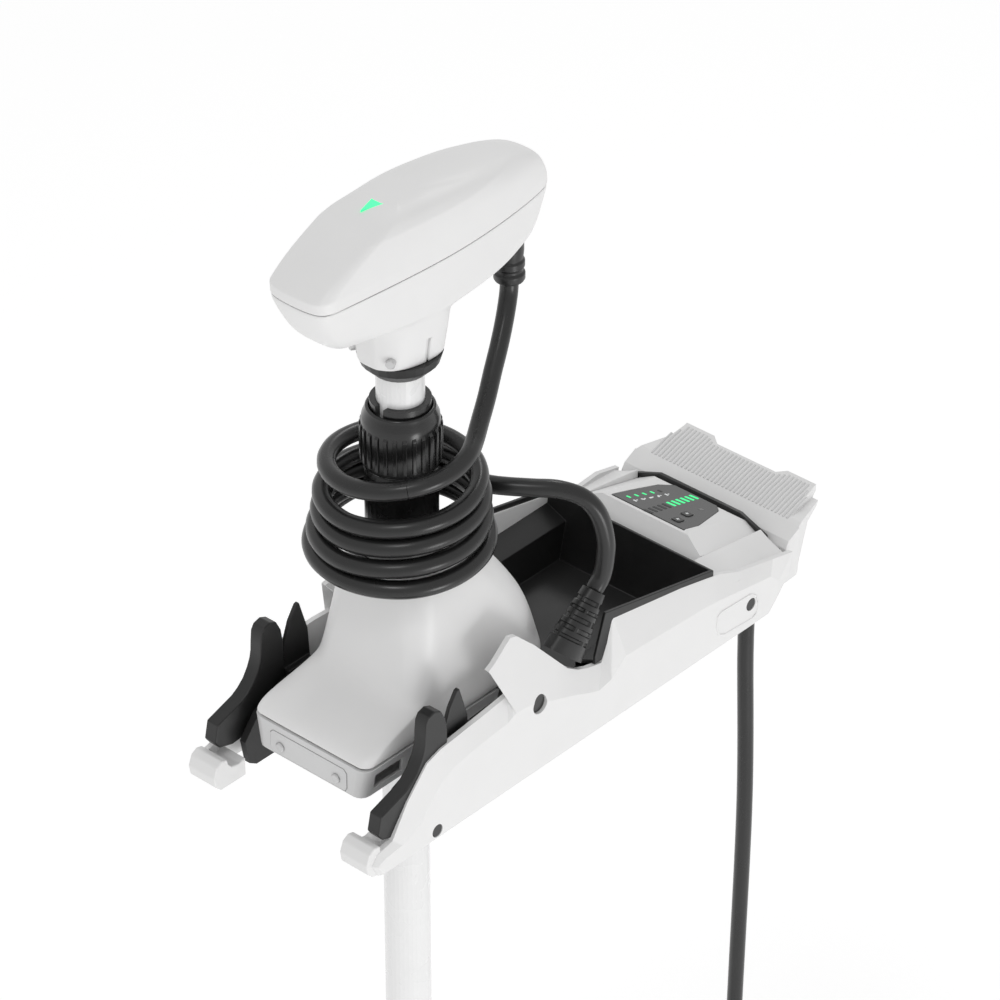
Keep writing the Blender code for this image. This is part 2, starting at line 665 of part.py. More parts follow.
def collar():
    """The split collet that grips the shaft, and the ribbed ring that tightens it."""
    collet = tube("depth_collet", "Z", (0, 0), SHAFT_R + 0.3, 24.2, 276.4, COLLET_TOP, black(), 32)
    cut(collet, block("collet_slot", (-4, -30, 316), (4, -10, 345), black()))
    ribs = 24
    steps = []
    for i in range(ribs):
        for share, radius in ((-0.3, KNOB_R - 1.6), (-0.2, KNOB_R), (0.2, KNOB_R), (0.3, KNOB_R - 1.6)):
            steps.append((radius, 2 * pi * (i + share) / ribs))

    def knob_ring(inset, z):
        return [((r - inset) * cos(t), (r - inset) * sin(t), z) for r, t in steps]

    knob = loft("depth_knob",
                [knob_ring(3.5, KNOB_LOW), knob_ring(0, KNOB_LOW + 4), knob_ring(0, KNOB_HIGH - 14),
                               knob_ring(2.5, KNOB_HIGH - 10), knob_ring(5, KNOB_HIGH)], black())
    cut(knob, rod("knob_bore", "Z", (0, 0), 24.5, 260, 350, black(), 32))
    hang(pivot("collar_slide", 0, 0, 300), [collet, knob])


# ---------------------------------------------------------------- head

def head_ring(z, front, rear, nose, waist, tail):
    """A horizontal section of the head: a blunt nose, a wide waist and a narrower tail."""
    length = rear - front
    half = [(nose * 0.7, front), (nose, front + 6), (nose + 2.5, front + 14),
            (waist * 0.93, front + length * 0.27),
            (waist, front + length * 0.48), (waist * 0.96, front + length * 0.63),
            (waist * 0.83, front + length * 0.8), (tail, rear - 16), (tail * 0.8, rear - 5),
            (tail * 0.4, rear)]
    return [(x, y, z) for x, y in mirrored(half)]


def head():
    base = [(HEAD_BASE - 4, -72, 118, 15, 27, 15), (HEAD_BASE, -86, 128, 19, 32, 19),
            (HEAD_BASE + 8, -97, 138, 23, 35.5, 22), (HEAD_SEAM - 8, -112, 149, 27.5, 38, 24),
            (HEAD_SEAM, -115, 152, 28.5, 38.5, 25)]
    lower = loft("head_lower_shell", [head_ring(*row) for row in base], white())
    neck = turned("neck", "Z", (0, 0),
                  [(0, NECK_LOW), (35.5, NECK_LOW), (38, 395), (41, 416), (41, 430), (0, 430)],
                  white(), 28)
    join(lower, neck)
    space = [(z + WALL, f + WALL, r - WALL, n - WALL, w - WALL, t - WALL) for z, f, r, n, w, t in base[1:]]
    space.append((HEAD_SEAM + 10, *space[-1][1:]))
    cut(lower, loft("head_hollow", [head_ring(*row) for row in space], white()))
    cut(lower, rod("neck_bore", "Z", (0, 0), SHAFT_R + GAP, 360, 440, white(), 32))
    cut(lower, block("neck_slit", (20, -1.2, 370), (50, 1.2, 400), white()))

    top = [(HEAD_SEAM + GAP, -115, 152, 28.5, 38.5, 25), (478, -115.5, 151, 28.5, 39, 25),
           (488, -104, 147, 27.5, 37.5, 24),
           (498, -86, 138, 26.5, 35.5, 22), (506, -68, 112, 25.5, 33.5, 20), (513, -48, 70, 22, 29, 18),
           (517.5, -30, 30, 15, 19, 13)]
    upper = loft("head_upper_shell", [head_ring(*row) for row in top], white())
    room = [(HEAD_SEAM - 8, *top[0][1:])] + top[1:-1]
    room = [(z - WALL, f + WALL, r - WALL, n - WALL, w - WALL, t - WALL) for z, f, r, n, w, t in room]
    cut(upper, loft("top_hollow", [head_ring(*row) for row in room], white()))
    arrow = [(0, -40), (9.5, -10), (0, -17.5), (-9.5, -10)]
    recess = [(0, -41.5), (10.6, -8.8), (0, -16.4), (-10.6, -8.8)]
    cut(upper, prism("arrow_recess", "Z", recess, 514.6, 530, white()))
    light = prism("arrow_light", "Z", arrow, 514.9, 517.2, finish("green_light", (0.15, 0.85, 0.4), 0.4))
    seal = turned("neck_seal", "Z", (0, 0),
                  [(SHAFT_R + GAP, 362), (22, 362), (31, 371), (33.5, NECK_LOW - GAP),
                                             (SHAFT_R + GAP, NECK_LOW - GAP)], rubber(), 28)
    pieces = [lower, upper, light, seal]
    for side, sign in (("left", -1), ("right", 1)):
        turn = atan2(-30.0, sign * 19.0)
        screw = turned("clamp_screw_" + side, "Z", (0, 0),
                       [(0, 27.5), (2.6, 27.5), (2.6, 33), (4.0, 33), (4.0, 38.5), (3.2, 39.5), (0, 39.5)],
                       steel(), 12)
        aim = Vector((cos(turn), sin(turn), 0)).to_track_quat("Z", "Y").to_matrix().to_4x4()
        screw.data.transform(Matrix.Translation((0, 0, 388 * MM)) @ aim)
        pocket = rod("clamp_pocket_" + side, "Z", (0, 0), 4.4, 26, 60, white(), 12)
        pocket.data.transform(Matrix.Translation((0, 0, 388 * MM)) @ aim)
        cut(lower, pocket)
        pieces.append(screw)
    gland = turned("head_gland", "Z", (0, 124), [(0, 384), (11, 384), (12.5, 388), (12.5, 394), (10.5, 397),
                                                 (11.5, 411), (11.5, 419.7), (0, 419.7)], rubber(), 20)
    pieces.append(gland)
    return pieces


# ---------------------------------------------------------------- shaft and lower unit

def lower_unit():
    pod = turned("pod_housing", "Y", (0, POD_Z), [
        (0, -96), (34, -96), (POD_R, -95), (POD_R, 84), (43, 100), (34, 118), (24, 124), (9.4, 124),
        (9.4, 112),
        (27, 108), (38, 92), (41, 80), (41, -92), (0, -92)], white(), 32)
    boss = turned("pod_boss", "Z", (0, 0),
                  [(0, POD_Z + 43), (30, POD_Z + 42), (27, POD_Z + 58), (27, POD_Z + 92),
                                            (23, POD_Z + 96), (0, POD_Z + 96)], white(), 28)
    join(pod, boss)
    cut(pod, rod("shaft_socket", "Z", (0, 0), SHAFT_R + GAP, POD_Z + 50, POD_Z + 110, white(), 32))
    cut(pod, rod("wire_way", "Z", (0, 0), 8, POD_Z + 30, POD_Z + 60, white(), 16))
    nose = turned("pod_nose_cone", "Y", (0, POD_Z),
                  [(0, -166), (12, -164), (24, -156), (35, -139), (42, -119),
                                                     (45.5, -96.4), (0, -96.4)], black(), 28)
    skeg_line = [(2, POD_Z - POD_R - 8), (6, POD_Z - POD_R - GAP), (96, POD_Z - POD_R - GAP),
                 (97, POD_Z - 70),
                 (84, POD_Z - 178), (64, POD_Z - 196), (40, POD_Z - 190), (20, POD_Z - 120)]
    skeg = prism("skeg", "X", skeg_line, -4, 4, white(), bevel=1.2)
    stator = tube("motor_stator", "Y", (0, POD_Z), 27, 40.5, -60, 50,
                  finish("winding_copper", (0.6, 0.25, 0.1), 0.4, 1.0))
    return [pod, nose, skeg, stator]


def propeller_group():
    rotor = turned("rotor_shaft", "Y", (0, POD_Z), [
        (0, -75), (7, -75), (7, -50), (26, -50), (26, 40), (7, 40), (7, 168), (0, 168)], steel(), 20)
    hub = turned("propeller", "Y", (0, POD_Z), [(7.3, 125), (27, 125), (27, 150), (22, 160), (7.3, 160)],
                 black(), 24)
    for i in range(3):
        turn = Matrix.Rotation(2 * pi * i / 3, 4, "Y")
        sections = []
        for radius, chord, twist in ((20, 30, 50), (55, 46, 38), (95, 52, 28), (126, 40, 22), (140, 18, 20)):
            pitch = radians(twist)
            ring = []
            for share, thick in ((-0.5, 0), (-0.2, 2.6), (0.25, 2.2), (0.5, 0), (0.25, -0.6), (-0.2, -0.6)):
                along = chord * share
                thin = (thick + 0.7 * (1 if thick >= 0 else -1)) * (1.0 - radius / 280)
                x = along * cos(pitch) - thin * sin(pitch)
                y = 142 + along * sin(pitch) + thin * cos(pitch)
                ring.append(turn @ Vector((x, y, radius)) + Vector((0, 0, POD_Z)))
            sections.append(ring)
        join(hub, loft("blade", sections, black()))
    nut = turned("prop_nut", "Y", (0, POD_Z),
                 [(8.3, 160.4), (13, 160.4), (13, 172), (9, 176), (0, 176), (0, 168.5),
                                               (8.3, 168.5)], steel(), 6)
    hang(pivot("prop_axis", 0, 0, POD_Z), [rotor, hub, nut])


def shaft():
    return tube("shaft_tube", "Z", (0, 0), SHAFT_R - SHAFT_WALL, SHAFT_R, POD_Z + 50.4, SHAFT_TOP, white(),
                32)


def head_cable():
    """The cable from the head: down to a loose coil round the collar, then over to the mount."""
    lead = [(0, 124, 383.2), (0, 123.8, 368), (5, 114, 353), (14, 98, 341), (22, 82, 330), (30, 67, 313),
            (38, 51, 302), (47, 33, 297.6), (54, 17, 297)]
    cable("coil_cable_lead", lead, CABLE_R, 20)
    turned("coil_cable_coil", "Z", (0, 0),
           [(49.5, COIL_LOW), (77.5, COIL_LOW), (77.5, 214), (74, 232), (70, 256),
                                            (65, COIL_HIGH), (49.5, COIL_HIGH)], rubber(), 32)
    tail = [(80, 137, 123.1), (80.4, 140, 126.6), (82.3, 143, 134), (84, 144, 150), (83.5, 142.5, 169),
            (81, 138, 193), (75.5, 128, 210), (65, 110, 222), (53, 89, 229), (41.5, 68.5, 232)]
    cable("coil_cable_tail", tail, CABLE_R, 24)


def build():
    clear_scene()
    base_frame()
    side_covers()
    for side, sign in (("left", -1), ("right", 1)):
        cover_fasteners(side, sign)
    ramps()
    well_tray()
    display()
    gasket()
    pedal()
    pivot_shaft()
    boot()
    power_lead()
    housing()
    steering()
    collar()
    hang(pivot("shaft_slide", 0, 0, SHAFT_TOP), [shaft(), *head(), *lower_unit()])
    propeller_group()
    head_cable()


build()
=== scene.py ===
"""The looks of a bow-mount trolling motor: its finishes, its cables and the fine shape of its shells.

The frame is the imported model's. Sizes are in millimetres, as in the model's own source, and become metres
when a mesh is written. +Z is up, +Y runs back to the foot pedal and +X is the right-hand side. The shaft
is on X = 0, Y = 0, and Z = 0 is the deck.
"""

import json
from math import atan2, cos, hypot, pi, radians, sin

import bmesh
import bpy
from mathutils import Matrix, Vector

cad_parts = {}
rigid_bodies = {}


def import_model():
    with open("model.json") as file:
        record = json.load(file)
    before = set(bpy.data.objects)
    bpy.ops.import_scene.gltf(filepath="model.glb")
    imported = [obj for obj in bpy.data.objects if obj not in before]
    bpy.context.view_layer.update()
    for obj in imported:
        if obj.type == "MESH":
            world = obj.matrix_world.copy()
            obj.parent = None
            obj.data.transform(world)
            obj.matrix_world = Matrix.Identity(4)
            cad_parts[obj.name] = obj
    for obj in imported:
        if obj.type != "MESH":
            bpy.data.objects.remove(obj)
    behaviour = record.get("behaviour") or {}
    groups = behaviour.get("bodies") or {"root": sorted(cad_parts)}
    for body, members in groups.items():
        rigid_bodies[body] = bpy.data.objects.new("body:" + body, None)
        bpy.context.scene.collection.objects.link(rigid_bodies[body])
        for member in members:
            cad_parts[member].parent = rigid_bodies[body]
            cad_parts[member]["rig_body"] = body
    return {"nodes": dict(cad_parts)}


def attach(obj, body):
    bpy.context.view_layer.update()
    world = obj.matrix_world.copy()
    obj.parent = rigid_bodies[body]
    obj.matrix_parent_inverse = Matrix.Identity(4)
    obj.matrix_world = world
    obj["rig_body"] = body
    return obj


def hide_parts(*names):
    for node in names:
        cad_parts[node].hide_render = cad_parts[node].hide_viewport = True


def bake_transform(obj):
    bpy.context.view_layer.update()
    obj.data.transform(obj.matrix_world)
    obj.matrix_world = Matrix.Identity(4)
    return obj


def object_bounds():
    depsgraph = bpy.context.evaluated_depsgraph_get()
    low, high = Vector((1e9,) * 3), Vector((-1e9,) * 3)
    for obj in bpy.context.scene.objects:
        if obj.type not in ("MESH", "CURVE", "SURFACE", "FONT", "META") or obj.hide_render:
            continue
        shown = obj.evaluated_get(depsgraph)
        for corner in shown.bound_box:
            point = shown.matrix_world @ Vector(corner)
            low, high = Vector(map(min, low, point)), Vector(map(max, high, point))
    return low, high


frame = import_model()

MM = 0.001


def box_now():
    low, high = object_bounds()
    return [list(low), list(high)]


CAD_BOX = box_now()

# ---------------------------------------------------------------- camera, floor and light

AZIMUTH, ELEVATION = radians(42), radians(34)
EYE = (2.1124, -2.2328, 2.3131)
LENS, SENSOR = 172.8, 36.0
FLOOR_DROP = 0.03  # how far the floor is below the lowest piece


def link(name, data):
    thing = bpy.data.objects.new(name, data)
    bpy.context.scene.collection.objects.link(thing)
    return thing


def camera():
    data = bpy.data.cameras.new("camera")
    data.lens, data.sensor_width = LENS, SENSOR
    data.clip_start, data.clip_end = 0.1, 60.0
    eye = link("camera", data)
    eye.location = EYE
    eye.rotation_euler = (pi / 2 - ELEVATION, 0, AZIMUTH)
    bpy.context.scene.camera = eye


def softbox(name, place, target, size, power):
    data = bpy.data.lights.new(name, "AREA")
    data.shape, data.size, data.energy = "DISK", size, power
    lamp = link(name, data)
    lamp.location = place
    lamp.rotation_euler = (Vector(target) - Vector(place)).to_track_quat("-Z", "Y").to_euler()


def studio():
    scene = bpy.context.scene
    scene.view_settings.view_transform = "Standard"
    world = bpy.data.worlds.new("studio")
    world.use_nodes = True
    world.node_tree.nodes["Background"].inputs["Color"].default_value = (1.0, 1.0, 1.0, 1.0)
    world.node_tree.nodes["Background"].inputs["Strength"].default_value = 0.72
    scene.world = world
    middle = (0.0, 0.1, 0.15)
    softbox("side", (2.7, -0.3, -0.75), middle, 1.0, 15)
    softbox("key", (0.9, -1.7, 3.2), middle, 0.7, 12)
    softbox("back", (-1.2, 2.6, 2.8), middle, 0.8, 10)


def floor():
    mesh = bmesh.new()
    bmesh.ops.create_grid(mesh, x_segments=1, y_segments=1, size=30)
    bmesh.ops.translate(mesh, verts=mesh.verts, vec=(0, 0, CAD_BOX[0][2] - FLOOR_DROP))
    data = bpy.data.meshes.new("floor")
    mesh.to_mesh(data)
    mesh.free()
    ground = bpy.data.materials.new("floor")
    ground.use_nodes = True
    shader = ground.node_tree.nodes["Principled BSDF"]
    shader.inputs["Base Color"].default_value = (0.97, 0.97, 0.97, 1.0)
    shader.inputs["Emission Color"].default_value = (1.0, 1.0, 1.0, 1.0)
    shader.inputs["Emission Strength"].default_value = 0.24
    shader.inputs["Roughness"].default_value = 1.0
    shader.inputs["Specular IOR Level"].default_value = 0.0
    data.materials.append(ground)
    link("floor", data)


# ---------------------------------------------------------------- finishes

def socket(group, name, kind, way, value=None):
    made = group.interface.new_socket(name=name, in_out=way, socket_type=kind)
    if value is not None:
        made.default_value = value


def moulding_group():
    """Moulded plastic and rubber: a fine spark-eroded grain, a slow mottle and a few faint handling marks."""
    group = bpy.data.node_groups.new("moulding", "ShaderNodeTree")
    for name, value in (("Grain per metre", 2600.0), ("Mottle per metre", 28.0), ("Mark amount", 0.3)):
        socket(group, name, "NodeSocketFloat", "INPUT", value)
    for name in ("Height", "Mottle", "Marks"):
        socket(group, name, "NodeSocketFloat", "OUTPUT")
    nodes, links = group.nodes, group.links
    given, out = nodes.new("NodeGroupInput"), nodes.new("NodeGroupOutput")
    place = nodes.new("ShaderNodeTexCoord").outputs["Object"]

    def noise(scale, detail, source=place):
        pattern = nodes.new("ShaderNodeTexNoise")
        pattern.inputs["Detail"].default_value = detail
        links.new(source, pattern.inputs["Vector"])
        if isinstance(scale, float):
            pattern.inputs["Scale"].default_value = scale
        else:
            links.new(scale, pattern.inputs["Scale"])
        return pattern.outputs["Fac"]

    links.new(noise(given.outputs["Grain per metre"], 2.0), out.inputs["Height"])
    links.new(noise(given.outputs["Mottle per metre"], 3.0), out.inputs["Mottle"])
    stretch = nodes.new("ShaderNodeMapping")
    stretch.inputs["Rotation"].default_value = (0.4, 0.3, 0.7)
    stretch.inputs["Scale"].default_value = (30.0, 210.0, 90.0)
    links.new(place, stretch.inputs["Vector"])
    streaks = noise(1.0, 4.0, stretch.outputs["Vector"])
    ramp = nodes.new("ShaderNodeMapRange")
    ramp.inputs["From Min"].default_value = 0.66
    ramp.inputs["From Max"].default_value = 0.78
    links.new(streaks, ramp.inputs["Value"])
    amount = nodes.new("ShaderNodeMath")
    amount.operation = "MULTIPLY"
    links.new(ramp.outputs["Result"], amount.inputs[0])
    links.new(given.outputs["Mark amount"], amount.inputs[1])
    links.new(amount.outputs["Value"], out.inputs["Marks"])
    return group


def brushed_group():
    """Turned or drawn metal: fine lines along one axis and a slow change in how bright they are."""
    group = bpy.data.node_groups.new("brushed", "ShaderNodeTree")
    socket(group, "Lines", "NodeSocketVector", "INPUT")
    for name in ("Height", "Mottle", "Marks"):
        socket(group, name, "NodeSocketFloat", "OUTPUT")
    nodes, links = group.nodes, group.links
    given, out = nodes.new("NodeGroupInput"), nodes.new("NodeGroupOutput")
    place = nodes.new("ShaderNodeTexCoord").outputs["Object"]
    scaled = nodes.new("ShaderNodeVectorMath")
    scaled.operation = "MULTIPLY"
    links.new(place, scaled.inputs[0])
    links.new(given.outputs["Lines"], scaled.inputs[1])
    fine = nodes.new("ShaderNodeTexNoise")
    fine.inputs["Scale"].default_value = 1.0
    links.new(scaled.outputs["Vector"], fine.inputs["Vector"])
    slow = nodes.new("ShaderNodeTexNoise")
    slow.inputs["Scale"].default_value = 90.0
    links.new(place, slow.inputs["Vector"])
    links.new(fine.outputs["Fac"], out.inputs["Height"])
    links.new(slow.outputs["Fac"], out.inputs["Mottle"])
    links.new(fine.outputs["Fac"], out.inputs["Marks"])
    return group


MOULDING, BRUSHED = moulding_group(), brushed_group()


def finish(name, dark, light, rough, depth=0.02, metallic=0.0, group=MOULDING, coat=0.0, settings=None):
    """A material whose colour and gloss follow the group's mottle, with its grain as bump."""
    made = bpy.data.materials.new(name)
    made.use_nodes = True
    nodes, links = made.node_tree.nodes, made.node_tree.links
    shader = nodes["Principled BSDF"]
    shader.inputs["Metallic"].default_value = metallic
    shader.inputs["Coat Weight"].default_value = coat
    shader.inputs["Coat Roughness"].default_value = 0.12
    surface = nodes.new("ShaderNodeGroup")
    surface.node_tree = group
    for key, value in (settings or {}).items():
        surface.inputs[key].default_value = value
    tint = nodes.new("ShaderNodeMix")
    tint.data_type = "RGBA"
    tint.inputs["A"].default_value = (*dark, 1.0)
    tint.inputs["B"].default_value = (*light, 1.0)
    links.new(surface.outputs["Mottle"], tint.inputs["Factor"])
    links.new(tint.outputs["Result"], shader.inputs["Base Color"])
    gloss = nodes.new("ShaderNodeMapRange")
    gloss.inputs["From Min"].default_value = 0.3
    gloss.inputs["From Max"].default_value = 0.7
    gloss.inputs["To Min"].default_value = rough[0]
    gloss.inputs["To Max"].default_value = rough[1]
    links.new(surface.outputs["Mottle"], gloss.inputs["Value"])
    worn = nodes.new("ShaderNodeMath")
    worn.operation = "ADD"
    links.new(gloss.outputs["Result"], worn.inputs[0])
    marks = nodes.new("ShaderNodeMath")
    marks.operation = "MULTIPLY"
    marks.inputs[1].default_value = 0.25
    links.new(surface.outputs["Marks"], marks.inputs[0])
    links.new(marks.outputs["Value"], worn.inputs[1])
    links.new(worn.outputs["Value"], shader.inputs["Roughness"])
    bump = nodes.new("ShaderNodeBump")
    bump.inputs["Strength"].default_value = 0.6
    bump.inputs["Distance"].default_value = depth * MM
    links.new(surface.outputs["Height"], bump.inputs["Height"])
    links.new(bump.outputs["Normal"], shader.inputs["Normal"])
    return made


def glowing(name, colour, power):
    made = finish(name, colour, colour, (0.3, 0.4))
    shader = made.node_tree.nodes["Principled BSDF"]
    shader.inputs["Emission Color"].default_value = (*colour, 1.0)
    shader.inputs["Emission Strength"].default_value = power
    return made


def grey(value, warmth=0.0):
    return (value + warmth, value, value - warmth)


WHITE = finish("white_shell", grey(0.76, 0.002), grey(0.80, 0.002), (0.42, 0.50), 0.02, coat=0.06,
               settings={"Mark amount": 0.25})
COMPOSITE = finish("white_composite", grey(0.80), grey(0.84), (0.24, 0.32), 0.01, coat=0.3,
                   settings={"Grain per metre": 1500.0})
PALE = finish("grey_shell", grey(0.60), grey(0.66), (0.34, 0.42), 0.02)
BLACK = finish("black_plastic", grey(0.009), grey(0.015), (0.34, 0.44), 0.03,
               settings={"Mark amount": 0.5})
SATIN = finish("black_satin", grey(0.008), grey(0.013), (0.22, 0.30), 0.012, coat=0.15)
RUBBER = finish("black_rubber", grey(0.009), grey(0.015), (0.32, 0.42), 0.02,
                settings={"Grain per metre": 1800.0, "Mark amount": 0.6})
JACKET = finish("cable_jacket", grey(0.010), grey(0.016), (0.24, 0.32), 0.02,
                settings={"Grain per metre": 1300.0, "Mark amount": 0.3})
ALUMINIUM = finish("black_aluminium", grey(0.035), grey(0.050), (0.38, 0.5), 0.02, 0.7)
STEEL = finish("stainless_steel", grey(0.52), grey(0.66), (0.2, 0.32), 0.01, 1.0, BRUSHED,
               settings={"Lines": (2500.0, 60.0, 2500.0)})
BRONZE = finish("bearing_bronze", (0.42, 0.27, 0.12), (0.56, 0.38, 0.18), (0.3, 0.42), 0.01, 1.0, BRUSHED,
                settings={"Lines": (300.0, 300.0, 3500.0)})
COPPER = finish("winding_copper", (0.48, 0.17, 0.07), (0.66, 0.28, 0.12), (0.25, 0.4), 0.05, 1.0, BRUSHED,
                settings={"Lines": (60.0, 1200.0, 60.0)})
NYLON = finish("gear_nylon", (0.66, 0.64, 0.57), (0.74, 0.72, 0.65), (0.42, 0.5))
LENS_GLASS = finish("dark_lens", grey(0.012), grey(0.016), (0.10, 0.14), 0.002, coat=0.5,
                    settings={"Mark amount": 0.15})
KEY_GREY = finish("button_grey", grey(0.035), grey(0.045), (0.34, 0.42))
BOARD = finish("board_green", (0.02, 0.12, 0.05), (0.03, 0.17, 0.08), (0.4, 0.5))
GREEN_LIGHT = glowing("green_light", (0.05, 0.80, 0.28), 0.9)
GREEN_BAR = glowing("green_bar", (0.03, 0.62, 0.20), 0.9)
ICON_WHITE = glowing("icon_white", (0.72, 0.74, 0.74), 0.15)
TREAD = finish("tread_white", grey(0.62), grey(0.68), (0.45, 0.55), 0.03)
ICON_GREY = finish("icon_grey", grey(0.16), grey(0.22), (0.4, 0.5))

SLOT_FINISHES = {
    "white_shell": WHITE, "grey_shell": PALE, "black_plastic": BLACK, "black_rubber": RUBBER,
    "black_aluminium": ALUMINIUM, "stainless_steel": STEEL, "bearing_bronze": BRONZE, "gear_nylon": NYLON,
    "dark_lens": LENS_GLASS, "button_grey": KEY_GREY, "board_green": BOARD, "green_light": GREEN_LIGHT,
    "winding_copper": COPPER,
}
NODE_FINISHES = {"shaft_tube": COMPOSITE, "depth_collet": SATIN, "steer_sleeve": SATIN}


def dress_nodes():
    """Every node of the model gets its finish, those that a finer piece stands for included."""
    for name, node in frame["nodes"].items():
        given = node.data.materials[0].name.split(".")[0] if node.data.materials else "white_shell"
        chosen = NODE_FINISHES.get(name) or SLOT_FINISHES.get(given, WHITE)
        if name == "housing_lower_cover" or name == "nameplate":
            chosen = PALE
        node.data.materials.clear()
        node.data.materials.append(chosen)


# ---------------------------------------------------------------- mesh helpers

def put(name, mesh, material, body, stands_for=(), smooth=40, keep_normals=False):
    """Write a bmesh, in millimetres, as a piece that rides on a body."""
    if not keep_normals:
        bmesh.ops.recalc_face_normals(mesh, faces=mesh.faces)
    bmesh.ops.scale(mesh, vec=(MM, MM, MM), verts=mesh.verts)
    data = bpy.data.meshes.new(name)
    mesh.to_mesh(data)
    mesh.free()
    data.materials.append(material)
    data.shade_smooth()
    if smooth:
        data.set_sharp_from_angle(angle=radians(smooth))
    piece = link(name, data)
    if body:
        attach(piece, body)
    if stands_for:
        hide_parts(*stands_for)
    return piece


def rounded(piece, width, segments=3, angle=30):
    """Round the edges that turn by more than an angle."""
    step = piece.modifiers.new("rounding", "BEVEL")
    step.width, step.segments = width * MM, segments
    step.limit_method, step.angle_limit = "ANGLE", radians(angle)
    step.harden_normals = True
    return piece


def softened(piece, levels=2):
    step = piece.modifiers.new("softening", "SUBSURF")
    step.levels = step.render_levels = levels
    return piece


def settle(piece):
    """Apply a piece's modifiers, so that its mesh is final."""
    done = bpy.data.meshes.new_from_object(piece.evaluated_get(bpy.context.evaluated_depsgraph_get()))
    piece.modifiers.clear()
    piece.data = done
    return piece


def carved(piece, *cutters):
    """Cut shapes out of a piece and drop the cutters."""
    for cutter in cutters:
        step = piece.modifiers.new("cut", "BOOLEAN")
        step.operation, step.solver, step.object = "DIFFERENCE", "EXACT", cutter
    settle(piece)
    for cutter in cutters:
        bpy.data.objects.remove(cutter)
    return piece


def refined(node, material, width=0.8, segments=3, angle=30, flat=1.0):
    """A copy of a node with its triangles merged back into faces and its edges rounded."""
    mesh = bmesh.new()
    mesh.from_mesh(frame["nodes"][node].data)
    bmesh.ops.scale(mesh, vec=(1 / MM,) * 3, verts=mesh.verts)
    bmesh.ops.remove_doubles(mesh, verts=mesh.verts, dist=0.01)
    bmesh.ops.dissolve_limit(mesh, angle_limit=radians(flat), verts=mesh.verts, edges=mesh.edges)
    body = frame["nodes"][node]["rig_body"]
    piece = put(node + "_fine", mesh, material, body, (node,), smooth=angle, keep_normals=True)
    return rounded(piece, width, segments, angle)


def loft(sections):
    """A closed skin over rings of points that all have the same count, as a bmesh."""
    mesh = bmesh.new()
    rings = [[mesh.verts.new(point) for point in section] for section in sections]
    loops = [[mesh.edges.new((ring[i - 1], ring[i])) for i in range(len(ring))] for ring in rings]
    for low, high in zip(loops, loops[1:]):
        bmesh.ops.bridge_loops(mesh, edges=low + high)
    mesh.faces.new(rings[0])
    mesh.faces.new(rings[-1])
    return mesh


def box_mesh(mesh, low, high):
    """Add a box to a bmesh and return its vertices."""
    size = Vector(high) - Vector(low)
    place = Matrix.Translation((Vector(low) + Vector(high)) / 2) @ Matrix.Diagonal((*size, 1.0))
    return bmesh.ops.create_cube(mesh, size=1.0, matrix=place)["verts"]


def block(low, high):
    mesh = bmesh.new()
    box_mesh(mesh, low, high)
    return mesh


def turned(profile, centre=(0, 0), steps=64):
    """A profile of (radius, height) spun about a vertical axis."""
    mesh = bmesh.new()
    points = [mesh.verts.new((centre[0] + radius, centre[1], height)) for radius, height in profile]
    edges = [mesh.edges.new(pair) for pair in zip(points, points[1:])]
    bmesh.ops.spin(mesh, geom=points + edges, cent=(*centre, 0), axis=(0, 0, 1), angle=2 * pi,
                   steps=steps, use_merge=True)
    bmesh.ops.remove_doubles(mesh, verts=mesh.verts, dist=1e-4)
    return mesh


def smooth_path(knots, step):
    """Points about a step apart on a Catmull-Rom curve through the knots."""
    fine = []
    last = len(knots) - 1
    for i in range(last):
        p0, p1, p2, p3 = (Vector(knots[min(max(i + k, 0), last)]) for k in (-1, 0, 1, 2))
        count = max(2, round((p2 - p1).length / step))
        for j in range(count):
            t = j / count
            fine.append(0.5 * (2 * p1 + (p2 - p0) * t + (2 * p0 - 5 * p1 + 4 * p2 - p3) * t * t
                               + (3 * p1 - p0 - 3 * p2 + p3) * t ** 3))
    fine.append(Vector(knots[-1]))
    return fine


def tube(name, path, radius, material, sides=4):
    """A round cable along a path, as a mesh in metres with no parent."""
    data = bpy.data.curves.new(name, "CURVE")
    data.dimensions = "3D"
    data.bevel_depth = radius * MM
    data.bevel_resolution = sides
    data.use_fill_caps = True
    line = data.splines.new("POLY")
    line.points.add(len(path) - 1)
    for point, place in zip(line.points, path):
        point.co = (*(place * MM), 1.0)
    curve = link(name + "_line", data)
    mesh = bpy.data.meshes.new_from_object(curve.evaluated_get(bpy.context.evaluated_depsgraph_get()))
    bpy.data.objects.remove(curve)
    mesh.name = name
    mesh.materials.clear()
    mesh.materials.append(material)
    mesh.shade_smooth()
    mesh.set_sharp_from_angle(angle=radians(50))
    return link(name, mesh)


# ---------------------------------------------------------------- cables

CABLE_R, LEAD_R = 7.5, 7.0
HEAD_LEAD = [(0, 124, 383.2), (1, 122, 372), (6, 112, 356), (12.5, 98.5, 341), (20, 82.5, 327), (28, 67, 315),
             (36.5, 50, 305), (46, 33, 299), (54, 17, 297)]
COIL_START = radians(17.5)  # the coil runs clockwise from here, seen from above
